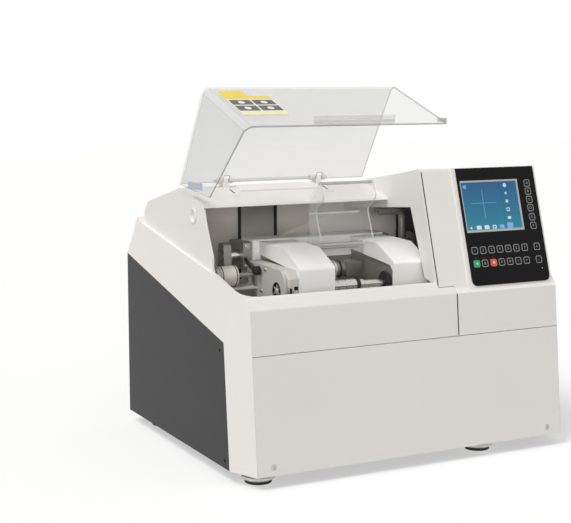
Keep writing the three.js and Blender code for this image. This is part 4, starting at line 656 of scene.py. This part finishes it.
# Carriage cover. A thin white moulding clips over the beam and both arms of the carriage. Its
# long shoulders are well rounded and its other edges only softened.
arm_sides = (-172, -108, 0, 66)
arm_rear = 221
arm_foot = 300
shoulder_radius = 5
edge_radius = 2
# Edges are picked by their place, to within these distances, and by their greatest slope
side_tolerance = 0.5
match_tolerance = 0.1
steepest_slope = 30
# The cover's white is partly its own and partly painted light, lifted above the casing's white against
# the chamber's shade
cover_white_and_light = surface("moulded_abs_white_painted_light", ("#FBFAF8", "#F6F5F3"), patch=110, grain=1, relief=0.015,
                      roughness=0.36)


def on_shoulder(edge):
    """True for the outer long edges of the two arms, which follow brow, slope and top."""
    start, end = (corner.co for corner in edge.verts)
    middle = (start + end) / 2
    run = end - start
    on_side = min(abs(middle.x - side) for side in arm_sides) < side_tolerance
    on_arm = middle.y < arm_rear and middle.z > arm_foot
    along_arm = abs(run.x) < match_tolerance and abs(run.z) < steepest_slope * abs(run.y)
    return on_side and on_arm and along_arm


cover = copied("carriage_cover")
beveled(cover, [edge for edge in sharp_edges(cover, 25) if on_shoulder(edge)], shoulder_radius, 4)
finished("carriage_cover_moulding", [rounded(cover, edge_radius, angle=50)], cover_white_and_light, "carriage",
         ["carriage_cover"])

# Drive housing. The left arm's side case is cast and painted in light grey. Its face carries
# three screws and a small square window, drawn as a flat dark block of painted shade, and the
# lens motor's shelf stands out from it.
housing_paint = surface("textured_paint_light_grey", ("#CDC9C4", "#C4C0BB"), patch=60, grain=1.1,
                        relief=0.05, roughness=0.45)
housing_side = -195
housing_back = -172.3
case_front = 80
case_wall = 0.8
front_rounding = 9
front_end = 93
case_outline = [(case_front, 248), (case_front, 302), (92, 315), (218, 317), (218, 274), (150, 248)]
lens_axis = (105, 282)
lens_motor_axis = (198, 296)
feeler_axis = (186, 306)
knob_axis = (170, 306)
hub_opening = 14
case_holes = ((lens_axis, hub_opening), (lens_motor_axis, 4.3), (feeler_axis, 3.3), (knob_axis, 3.3))
# Each face of the wall takes one hole, so it is split between them
wall_splits = (148, 178, 192)


def faced_left(part):
    """Turns an open shell's faces so that its broad wall looks out to the left."""
    bmesh.ops.recalc_face_normals(part, faces=part.faces)
    widest = max(part.faces, key=lambda face: face.calc_area() * abs(face.normal.x))
    if widest.normal.x > 0:
        bmesh.ops.reverse_faces(part, faces=part.faces)
    return part


def ring(part, centre, radius, steps):
    """The edges of a new circle round centre, square to the shafts."""
    seat = Matrix.Translation(centre) @ Matrix.Rotation(math.radians(90), 4, "Y")
    circle = bmesh.ops.create_circle(part, segments=steps, radius=radius, matrix=seat)
    return list(dict.fromkeys(edge for corner in circle["verts"] for edge in corner.link_edges))


def pierced(part, axis, radius):
    """Cuts a round hole in the case's flat left wall."""
    depth, height = axis
    for face in part.faces:
        reach = [corner.co.y for corner in face.verts]
        if face.normal.x < -0.99 and min(reach) < depth < max(reach):
            rim = face.edges[:]
            bmesh.ops.delete(part, geom=[face], context="FACES_ONLY")
            rim += ring(part, (housing_side, depth, height), radius, 32)
            bmesh.ops.bridge_loops(part, edges=rim)
            return


def drive_case():
    """The case's outer skin, open towards the arm, with its front edge well rounded and a hole
    for each of the hub, the motor, the feeler lever and the knob."""
    part = prism(case_outline, housing_side, housing_back)
    arm_side = [face for face in part.faces if face.normal.x > 0.99]
    bmesh.ops.delete(part, geom=arm_side, context="FACES_ONLY")
    front = [edge for edge in part.edges
             if all(abs(end.co.x - housing_side) < match_tolerance and end.co.y < front_end
                    for end in edge.verts)]
    beveled(part, front, front_rounding, 5)
    for depth in wall_splits:
        divided(part, (0, depth, 0), (0, 1, 0))
    faced_left(part)
    for axis, radius in case_holes:
        pierced(part, axis, radius)
    return faced_left(part)


finished("drive_housing_case", [drive_case()], housing_paint, "carriage",
         ["drive_housing"], sheet=case_wall)
motor_shelf = block((-257, 181, 274.7), (housing_side - 0.1, 215, 278.7), 0.8)
finished("drive_housing_shelf", [motor_shelf], housing_paint, "carriage")
case_screws = [cap_screw((housing_side + 0.2, depth, height), (-1, 0, 0), radius=2.4, height=2.2)
               for depth, height in ((166, 274), (214, 285), (152, 310))]
finished("case_screws", case_screws, zinc, "carriage")
# A flat dark block stands for the window's painted shade
window = block((-181, case_front - 0.3, 285), (-174, case_front + 0.6, 291), 0.2)
finished("case_slot_painted_shade", [window], black_oxide, "carriage")

# Hub. A ventilated cap is pressed on the lens shaft's end: a boss and six blades of bright
# nickel in a blackened ring, with dark gaps between them, where a black disc behind the blades
# is painted shade in the vents. It turns with the shaft.
satin_nickel = surface("satin_nickel_cap", ("#D6D6D4", "#C6C6C4"), patch=8, grain=0.7, roughness=0.35,
                       Metallic=0.5)
blade_count = 6
hub_seat = housing_side - 2.6
hub_rim = [(0.5, 10.6), (0.5, 13.4), (-1.6, 13.4), (-2.2, 12.8), (-2.2, 11.2), (-1.6, 10.6), (0.5, 10.6)]
hub_boss = [(0, 0), (0.5, 0), (0.5, 4.6), (-2, 4.6), (-2.8, 3.6), (-2.8, 0)]
vent_shade_profile = [(0, 0), (0, 13.2), (0.6, 13.2), (0.6, 0)]
blades = []
for step in range(blade_count):
    blade = block((-1.4, -1.1, 3.8), (0.4, 1.1, 11), 0.4)
    bmesh.ops.rotate(blade, verts=blade.verts, cent=(0, 0, 0),
                     matrix=Matrix.Rotation(math.tau * step / blade_count, 3, "X"))
    blades.append(moved(blade, (hub_seat, *lens_axis)))
boss = turned(hub_boss, (hub_seat, *lens_axis), steps=24)
finished("hub_cap", [boss] + blades, satin_nickel, "lens_shaft")
for name, profile, left, finish in (("hub_ring", hub_rim, hub_seat, black_oxide),
                                    ("hub_vent_shade", vent_shade_profile, hub_seat + 0.4, rubber)):
    finished(name, [turned(profile, (left, *lens_axis))], finish, "lens_shaft")

# Lens shafts. The chuck shaft on the left and the clamp shaft in its quill on the right are
# ground steel with turned collars, and a black block holder sits between them.
chuck_shaft = [(0, 0), (0, 9), (81, 9), (81, 10.5), (98, 10.5), (98, 9.6), (99.5, 9.6), (99.5, 10.5),
               (112, 10.5), (112, 9.6), (113.5, 9.6), (113.5, 10.5), (132.6, 10.5), (134.4, 9.2),
               (134.4, 0)]
pad_holder = [(0, 0), (0, 10.6), (0.8, 11.5), (2, 11.5), (2.4, 10.9), (2.8, 11.5), (4.2, 11.5),
              (5, 10.6), (5, 0)]
clamp_shaft = [(0, 0), (0, 8.2), (0.8, 9), (7.2, 9), (8, 8.2), (8, 6.8), (16, 6.8), (16, 6.3),
               (17.2, 6.3), (17.2, 6.8), (111.4, 6.8), (111.4, 0)]
quill = [(0, 7.1), (0, 14.2), (0.8, 15), (52, 15), (52, 7.1), (0, 7.1)]
quill_seal = [(0, 7.6), (0, 17), (1.2, 18.5), (4.2, 18.5), (5.4, 17), (5.4, 7.6), (0, 7.6)]
for name, profile, left, finish, body, slot, replaced in (
        ("chuck_shaft_steel", chuck_shaft, -191.4, ground_steel, "lens_shaft", "bright", ["chuck_shaft"]),
        ("chuck_pad_holder", pad_holder, -56.7, rubber, "lens_shaft", "black_rubber", ["chuck_pad"]),
        ("clamp_shaft_steel", clamp_shaft, -51.4, ground_steel, "clamp_shaft", "bright", ["clamp_shaft"]),
        ("clamp_quill_steel", quill, 8, ground_steel, "quill", "bright", ["clamp_quill"]),
        ("quill_seal", quill_seal, -3.4, rubber, "carriage", "black_rubber", [])):
    finished(name, [turned(profile, (left, *lens_axis))], finish, body, replaced)

# Hood. Its front pane, rear pane and left side plate are folded from one clear acrylic sheet,
# with flat chamfers along the side folds. Four knuckles carry it on the hinge rod. Its cut and
# polished edges and its folds are drawn in a darker, less clear grey as painted shade.
acrylic = surface("clear_acrylic_sheet", ("#D2D2D0", "#CBCBC9"), patch=90, grain=1.5, relief=0.005,
                  roughness=0.1, spread=0.03, IOR=1.49, Alpha=0.2)
hood_edge_shade = surface("hood_sheet_edge_painted_shade", ("#C6C5C2", "#B9B8B5"), patch=20, roughness=0.2,
                       Alpha=0.65)
bracket_white = surface("moulded_acetal_white", ("#EDEBE7", "#E4E2DE"), patch=25, roughness=0.35)


def lets_light_by(material, share):
    """Clear plastic takes little of the light that falls through it, so a shadow ray mostly
    passes."""
    tree = material.node_tree
    skin = next(node for node in tree.nodes if node.type == "BSDF_PRINCIPLED")
    output = next(node for node in tree.nodes if node.type == "OUTPUT_MATERIAL")
    rays = add(tree, "LightPath")
    passing = add(tree, "Math", {0: rays.outputs["Is Shadow Ray"], 1: share}, operation="MULTIPLY")
    clear = add(tree, "BsdfTransparent")
    mixed = add(tree, "MixShader", {0: passing.outputs[0], 1: skin.outputs[0], 2: clear.outputs[0]})
    tree.links.new(mixed.outputs[0], output.inputs["Surface"])


lets_light_by(acrylic, 0.85)
hood_left = -297
hood_right = 49
hood_wall = 3
hinge_axis = (272, 444)
heel, peak, lip, skirt = (268, 443), (170, 600.5), (8.5, 543), (141, 429)
peak_setback = 11.3
fold_chamfer = 9
fold_line = 0.6
bracket_middles = (-211, -37)
notch_half = 5.3
notch_reach = 12


def folded_hood():
    """The hood's outer skin: the side plate, and two panes drawn out from its upper edges."""
    part = bmesh.new()
    heel_end, peak_end, lip_end, skirt_end = [
        part.verts.new((hood_left, *corner)) for corner in (heel, peak, lip, skirt)]
    part.faces.new((heel_end, peak_end, lip_end, skirt_end))
    upper = [part.edges.get((heel_end, peak_end)), part.edges.get((peak_end, lip_end))]
    carried(part, bmesh.ops.extrude_edge_only(part, edges=upper), (hood_right - hood_left, 0, 0))
    faced_left(part)
    at_peak = [edge for edge in part.edges
               if all(abs(end.co.z - peak[1]) < match_tolerance for end in edge.verts)]
    beveled(part, at_peak, peak_setback, 6)
    beveled(part, sharp_edges(part, 60), fold_chamfer, 1)
    return beveled(part, sharp_edges(part, 25), fold_line, 1, finish=1)


def notched(part):
    """Cuts the rear pane's lower edge away round the two brackets."""
    up = Vector((0, peak[0] - heel[0], peak[1] - heel[1])).normalized()
    root = Vector((0, *heel))
    cuts = [((middle + side, 0, 0), (1, 0, 0))
            for middle in bracket_middles for side in (-notch_half, notch_half)]
    for point, normal in cuts + [(root + up * notch_reach, up)]:
        divided(part, point, normal)
    gone = []
    for face in part.faces:
        middle = face.calc_center_median()
        beside = min(abs(middle.x - at) for at in bracket_middles) < notch_half
        if beside and middle.y > peak[0] and (middle - root).dot(up) < notch_reach:
            gone.append(face)
    bmesh.ops.delete(part, geom=gone, context="FACES")
    return part


finished("hood_sheet", [notched(folded_hood())], [acrylic, hood_edge_shade], "hood",
         ["hood"], sheet=hood_wall)
knuckle_profile = [(0, 2.7), (0, 4.6), (0.4, 5), (8.6, 5), (9, 4.6), (9, 2.7), (0, 2.7)]
knuckles = [turned(knuckle_profile, (middle + start, *hinge_axis), steps=24)
            for middle in bracket_middles for start in (-14.3, 5.3)]
finished("hood_knuckles", knuckles, bracket_white, "hood")

# Handle and lug of the hood. The handle is a strip of the same sheet with a white bead, bonded
# upright along the front pane's lip. A small lug at the pane's right tip lands on the cabinet.
lip_at = -math.hypot(peak[0] - lip[0], peak[1] - lip[1])
pane_rise = math.atan2(peak[1] - lip[1], peak[0] - lip[0])
on_hood = bench @ Matrix.Translation((0, *peak)) @ Matrix.Rotation(pane_rise, 4, "X")
handle_left = -186
handle_right = -46
handle = block((handle_left, lip_at + 0.5, -1), (handle_right, lip_at + hood_wall + 0.5, 13), 0.6)
finished("hood_handle", [handle], acrylic, "hood", place=on_hood)
bead = block((handle_left, lip_at, 2.5), (handle_right, lip_at + 1, 7), 0.3)
finished("handle_bead", [bead], bracket_white, "hood", place=on_hood)
# The lug is drawn in the same darker grey of painted shade as the sheet's edges
lug = block((hood_right - 5, 10, 543.8), (hood_right + 1.4, 27, 550), 0.6)
finished("hood_lug", [lug], hood_edge_shade, "hood")

# Sticker. A printed vinyl label lies on the front pane's left end: a yellow tab and head, four
# dark cells with plain round marks, and a pale yellow foot.
vinyl_yellow, vinyl_pale, vinyl_white, vinyl_dark = [
    surface("printed_vinyl_" + tint, tones, patch=30, roughness=0.4)
    for tint, tones in (("yellow", ("#EBCF3F", "#E2C534")), ("pale_yellow", ("#EFE8B4", "#E8E0A6")),
                        ("white", ("#EDEDEA", "#E5E5E2")), ("dark", ("#4E4A44", "#433F3A")))]
label_left = -281
label_right = -204
cell_width = 35
mark_radius = 5.5


def stuck(left, right, start, end, layer=0, radius=0):
    """A rectangle of thin vinyl on the hood's front pane, between distances from the fold."""
    part = drawn_out(plaque(right - left, end - start, radius), (0, 0, ink_thickness))
    return moved(part, ((left + right) / 2, -(start + end) / 2, 0.1 + layer * ink_thickness))


cells = []
rounds = []
for left in (label_left + 2, label_left + 40):
    for start, end in ((66.6, 86.6), (90.6, 111.6)):
        cells.append(stuck(left, left + cell_width, start, end, 1, radius=1))
        middle = (start + end) / 2
        mark_left = left + 12
        rounds.append(stuck(mark_left, mark_left + 2 * mark_radius, middle - mark_radius,
                            middle + mark_radius, 2, radius=mark_radius - 0.1))
tab = stuck(label_left, -240, 26.6, 49, radius=2)
for name, parts, vinyl, slot in (
        ("label_yellow", [tab, stuck(label_left, label_right, 48.6, 63.6)], vinyl_yellow, "plug_plastic"),
        ("label_white", [stuck(label_left, label_right, 63.6, 114.6)], vinyl_white, "white_moulding"),
        ("label_pale", [stuck(label_left, label_right, 114.6, 127.6)], vinyl_pale, "plug_plastic"),
        ("label_cells", cells, vinyl_dark, "black_rubber"),
        ("label_rounds", rounds, vinyl_white, "white_moulding")):
    finished(name, parts, vinyl, "hood", place=on_hood)

# Damper. A small bluish polymer block is bonded inside the hood's side plate, where it meets
# the cabinet's shoulder.
blue_polymer = surface("bluish_polymer", ("#B3C4D6", "#A6B8CC"), patch=15, relief=0.02, roughness=0.45)
damper = block((-293.95, 176, 437.5), (-292.1, 230, 448.5), 0.6)
finished("hood_damper", [damper], blue_polymer, "hood")

# Hinge brackets. Two white moulded blocks are screwed on the header behind the hood, and a thin
# leaf of each lies forward on it. A clear rod runs through them, and a pale buffer strip is
# stuck on the header between them.
for node in ("hood_bracket_left", "hood_bracket_right"):
    dressed(node, "_moulding", bracket_white, "cabinet", radius=0.8)
clear_rod = surface("clear_polycarbonate_rod", ("#DDDDDB", "#D2D2D0"), patch=20, roughness=0.15,
                    Alpha=0.35)
dressed("hood_hinge_rod", "_clear", clear_rod, "cabinet", radius=0.4, angle=40)
header_front = (185, 412)
header_ridge = (272, 435)
header_slope = (header_ridge[1] - header_front[1]) / (header_ridge[0] - header_front[0])


def on_header(depth):
    """The header's height at a depth."""
    return header_front[1] + (depth - header_front[0]) * header_slope


def strip(left, right, front, rear, thickness):
    """A flat strip that lies on the header."""
    ends = [(front, on_header(front)), (rear, on_header(rear))]
    return prism(ends + [(depth, height + thickness) for depth, height in reversed(ends)], left, right)


leaves = [rounded(strip(left, right, 225, 262, 1.6), 0.5, segments=3)
          for left, right in ((-219, -203), (-46, -29))]
finished("bracket_leaves", leaves, bracket_white, "cabinet")
# The slot in each leaf is a dark strip of painted shade, laid just proud of it
leaf_slot_shades = [strip(left, left + 2.4, 231, 250, 1.75) for left in (-212.2, -38.7)]
finished("leaf_slot_shades", leaf_slot_shades, rubber, "cabinet")
buffer_top = 437
buffer = prism([(242, on_header(242)), (266, on_header(266)), (266, buffer_top), (257, buffer_top),
                (242, on_header(242) + 3)], -195, -50)
finished("buffer_strip", [rounded(buffer, 1.2, segments=3)], bracket_white, "cabinet")

# Splash guard. A box-shaped shield of clear acrylic, open in front and below, clips on its rod
# between the carriage's arms and stands up over the lens. Its cut edges are flame polished, and
# they, its folds and its top are drawn in a paler, less clear tone as painted highlight.
thin_acrylic = surface("thin_clear_acrylic", ("#E6E6E4", "#DFDFDD"), patch=60, grain=1.5, relief=0.005,
                       roughness=0.1, spread=0.03, IOR=1.49, Alpha=0.09)
guard_edge_highlight = surface("guard_sheet_edge_painted_highlight", ("#D6D6D3", "#C9C9C6"), patch=20, roughness=0.2,
                         Alpha=0.8)
lets_light_by(thin_acrylic, 0.7)
guard_top = 441
guard_foot = 349
guard_wall = 3.2
edge_width = 2.8
fold_width = 0.9
guard = rounded(copied("splash_guard"), 0.8)
divided(guard, (0, 0, guard_top), (0, 0, 1))
for face in guard.faces:
    across = [corner.co.x for corner in face.verts]
    middle = face.calc_center_median().z
    at_rim = max(across) - min(across) < guard_wall or middle < guard_foot
    width = 2 * face.calc_area() / face.calc_perimeter()
    # Narrow faces of edges and folds, and all above the top line, take the paler tone of painted
    # highlight
    if width < fold_width or (at_rim and width < edge_width) or middle > guard_top:
        face.material_index = 1
finished("splash_guard_shield", [guard], [thin_acrylic, guard_edge_highlight], "guard",
         ["splash_guard"])

# Boss plate. A round-headed pad of the same cast and painted case stands on its face, round the
# hub's opening.
boss_outline = ((case_front, 248), (139, 248), (139, 316), (case_front, 316))
boss_rounding = 18
boss_thickness = 4.4


def boss_plate():
    """The pad's round-headed outline round the hub's opening, drawn out to its thickness."""
    seat = housing_side + 0.4
    part = bmesh.new()
    corners = [part.verts.new((seat, *corner)) for corner in boss_outline]
    part.faces.new(corners)
    beveled(part, corners[2:], boss_rounding, 6, "VERTICES")
    outer = part.edges[:]
    bmesh.ops.delete(part, geom=part.faces[:], context="FACES_ONLY")
    bmesh.ops.bridge_loops(part, edges=outer + ring(part, (seat, *lens_axis), hub_opening, 40))
    return rounded(drawn_out(part, (-boss_thickness, 0, 0)), 1.2, segments=3, angle=50)


finished("boss_plate", [boss_plate()], housing_paint, "carriage")

# Lens drive motor. A small cream-painted can with a ringed end cap, on the shelf of the case.
# Two thin blackened steel rings lie round it.
cream_paint = surface("cream_enamel", ("#E5E1D8", "#DBD7CC"), patch=20, roughness=0.4)
dressed("lens_motor", "_can", cream_paint, "carriage", radius=1)
motor_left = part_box("lens_motor")[0].x / millimetre
rings = [hoop(16.4, 17.6, 1.2, (motor_left + start, *lens_motor_axis)) for start in (7, 31)]
finished("lens_motor_bands", rings, black_oxide, "carriage")

# Belts. Toothed belts of black rubber, the small one in the drive housing and the large one
# between the wheel motor and the spindle.
for node, body in (("lens_belt", "carriage"), ("drive_belt", "cabinet")):
    dressed(node, "_band", rubber, body, radius=0.4, angle=50)

# Clamping motor. A geared motor between the arms: a dark anodised can with rings of rubber and
# nickel, the pale nickel ones partly real rings and partly painted highlight, and a gearbox with
# a bracket to the carriage's beam.
anodised = surface("dark_anodised_aluminium", ("#8B8A7C", "#6C6C61"), patch=14, relief=0.02,
                   roughness=0.35, Metallic=0.7)
dressed("clamp_motor", "_body", anodised, "carriage", radius=0.8)
clamp_motor_axis = (166, 300)
band_profile = [(0, 13), (0, 13.9), (0.5, 14.3), (3, 14.3), (3.5, 13.9), (3.5, 13), (0, 13)]
for name, lefts, finish, slot in (("clamp_motor_bands", (-93, -75, -57), rubber, "black_rubber"),
                                  ("clamp_motor_highlight_rings", (-84, -66), satin_nickel, "bright")):
    bands = [turned(band_profile, (left, *clamp_motor_axis)) for left in lefts]
    finished(name, bands, finish, "carriage")

# Feeler lever and lock knob. The lever is a flat steel plate, blanked and polished. The knob is
# black moulded plastic with a knurled rim and a stepped end.
dressed("feeler_lever", "_plate", ground_steel, "feeler", radius=0.6, angle=40)
knob_steps = 48
knob_rim = 7
knob_knurl_share = 0.92
knob_profile = [(0, 0), (0, 3), (2, 3), (2, 7.4), (10.4, 7.4), (11.7, 6), (12.2, 3.4), (12.2, 0)]
knob_base = Vector((housing_side - 0.1, *knob_axis))
knob = turned(knob_profile, knob_base, (-1, 0, 0), steps=knob_steps)
for vert in knob.verts:
    arm = (vert.co - knob_base).yz
    step = round(math.atan2(arm[1], arm[0]) / math.tau * knob_steps)
    if step % 2 and arm.length > knob_rim:
        vert.co.yz = knob_base.yz + arm * knob_knurl_share
finished("lock_knob_cap", [knob], rubber, "knob", ["lock_knob"])

# Slide actuator. A square linear motor in a blackened steel case with screws in its end, on the
# right of the chamber under the console.
dressed("slide_actuator", "_body", black_oxide, "cabinet", radius=1.5)
actuator_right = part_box("slide_actuator")[1].x / millimetre
actuator_screws = [cap_screw((actuator_right - 1.2, depth, height), (1, 0, 0), radius=2, height=1)
                   for depth in (257, 287) for height in (291, 321)]
finished("actuator_screws", actuator_screws, zinc, "cabinet")

# Wheel motor. A finned steel can in grey enamel stands on the base pan and drives the belt. Its
# fins are cast rings that carry its heat away.
motor_enamel = surface("grey_motor_enamel", ("#6E7072", "#646668"), patch=40, grain=1.2, relief=0.04,
                       roughness=0.45)
dressed("wheel_motor", "_can", motor_enamel, "cabinet", radius=1.2, angle=40)
wheel_motor_axis = (330, 95)
fin_spacing = 9
fins = [hoop(47, 49, 2.4, (left, *wheel_motor_axis)) for left in range(78, 210, fin_spacing)]
finished("wheel_motor_fins", fins, motor_enamel, "cabinet")

# Pipes. The coolant feed is a bent tube of drawn steel, and the drain is a grey plastic pipe.
# Both end in a stub at the rear for a hose.
pipe_paint = surface("grey_plastic_pipe", ("#9A9C9C", "#8F9191"), patch=30, grain=0.9, relief=0.02,
                     roughness=0.4)
# The feed tube's pale tone is partly the steel's own and partly painted light against the shade it lies
# in
steel_tube_and_light = surface("drawn_coolant_tube_painted_light", ("#E0DEDB", "#D2D0CD"), patch=25, roughness=0.25, Metallic=0.35)
for node, finish in (("coolant_pipe", steel_tube_and_light), ("drain_pipe", pipe_paint)):
    dressed(node, "_tube", finish, "cabinet", radius=0.6, angle=50)

# Power supply. A closed switched supply in a galvanised case, with rows of slots in its top.
# It stands on the base pan behind the chamber.
galvanised = surface("galvanised_steel", ("#B3B6B8", "#989C9F"), patch=9, grain=0.9, roughness=0.38,
                     Metallic=0.85)
dressed("power_supply", "_case", galvanised, "cabinet", radius=1)
supply_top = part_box("power_supply")[1].z / millimetre
slot_width = 4
slot_length = 26
slot_spacing = 11
slot_low, slot_high = supply_top - 0.6, supply_top + 0.15
# Each slot is drawn as a dark block of painted shade, sunk into the top
supply_slot_shades = [block((x, depth, slot_low), (x + slot_width, depth + slot_length, slot_high), 0.05)
                for x in range(-228, -104, slot_spacing) for depth in (362, 394, 426)]
finished("power_supply_vent_shades", supply_slot_shades, rubber, "cabinet")

# Power inlet and main switch. The inlet is a moulded frame with three flat brass pins in its
# socket. The switch over it is a black rocker, with a bar and a ring printed beside it.
black_moulding = surface("moulded_nylon_black", ("#1A1A1B", "#222223"), patch=15, relief=0.02,
                         roughness=0.4)
brass = surface("nickelled_brass_pin", ("#C9C2A8", "#B8B094"), patch=5, grain=0.6, roughness=0.25,
                Metallic=1)
dressed("power_inlet", "_frame", black_moulding, "cabinet", radius=0.7)
dressed("main_switch", "_rocker", black_moulding, "switch", radius=0.5)
pins = [block((x - 1, 454.8, z - 3), (x + 1, 471, z + 3), 0.4)
        for x, z in ((208, 63), (222, 63), (215, 71))]
finished("inlet_pins", pins, brass, "cabinet")
bar = block((231.2, 483.7, 90), (232, 484, 98), 0.1)
circle = hoop(2.6, 3.4, 0.3, (199, 483.7, 94), (0, 1, 0), steps=24)
finished("switch_marks", [bar, circle], white_ink, "cabinet")

# Casing screws. Blackened cap screws hold the rear panel, and the right side panel has the same
# two screws as the left one.
rear_face = (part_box("rear_panel")[1].y - front_edge) / millimetre
rear_screws = [cap_screw((x, rear_face - 0.4, z), (0, 1, 0), radius=3.2, height=2.4)
               for x in (-292, 0, 292) for z in (38, 275)]
finished("rear_screws", rear_screws, black_oxide, "cabinet")
right_screws = [side_screw(1, height) for height in side_screw_heights]
finished("right_side_screws", right_screws, black_oxide, "cabinet")

# Seam shade. A bead in the dark rubber tone, a little wider than the joint, lies in it between the
# main cover and the console as painted shade in the gap.
ribbon_depth = -0.15
ribbon_thickness = 2


def ribbon(low, high, left, right, foot, slope):
    """A bead just proud of a face that leans back by slope from a (depth, height) foot."""
    ends = [(foot[0] + (height - foot[1]) * slope + ribbon_depth, height) for height in (low, high)]
    rear = [(depth + ribbon_thickness, height) for depth, height in reversed(ends)]
    return prism(ends + rear, left, right)


upper_ribbon = ribbon(280, 460, 53.5, 55.5, panel_foot, math.tan(panel_lean))
lower_ribbon = ribbon(202, 268, 84.5, 86.5, (0, front_foot), math.tan(lean))
finished("seam_painted_shade_bead", [upper_ribbon, lower_ribbon], rubber, "cabinet")
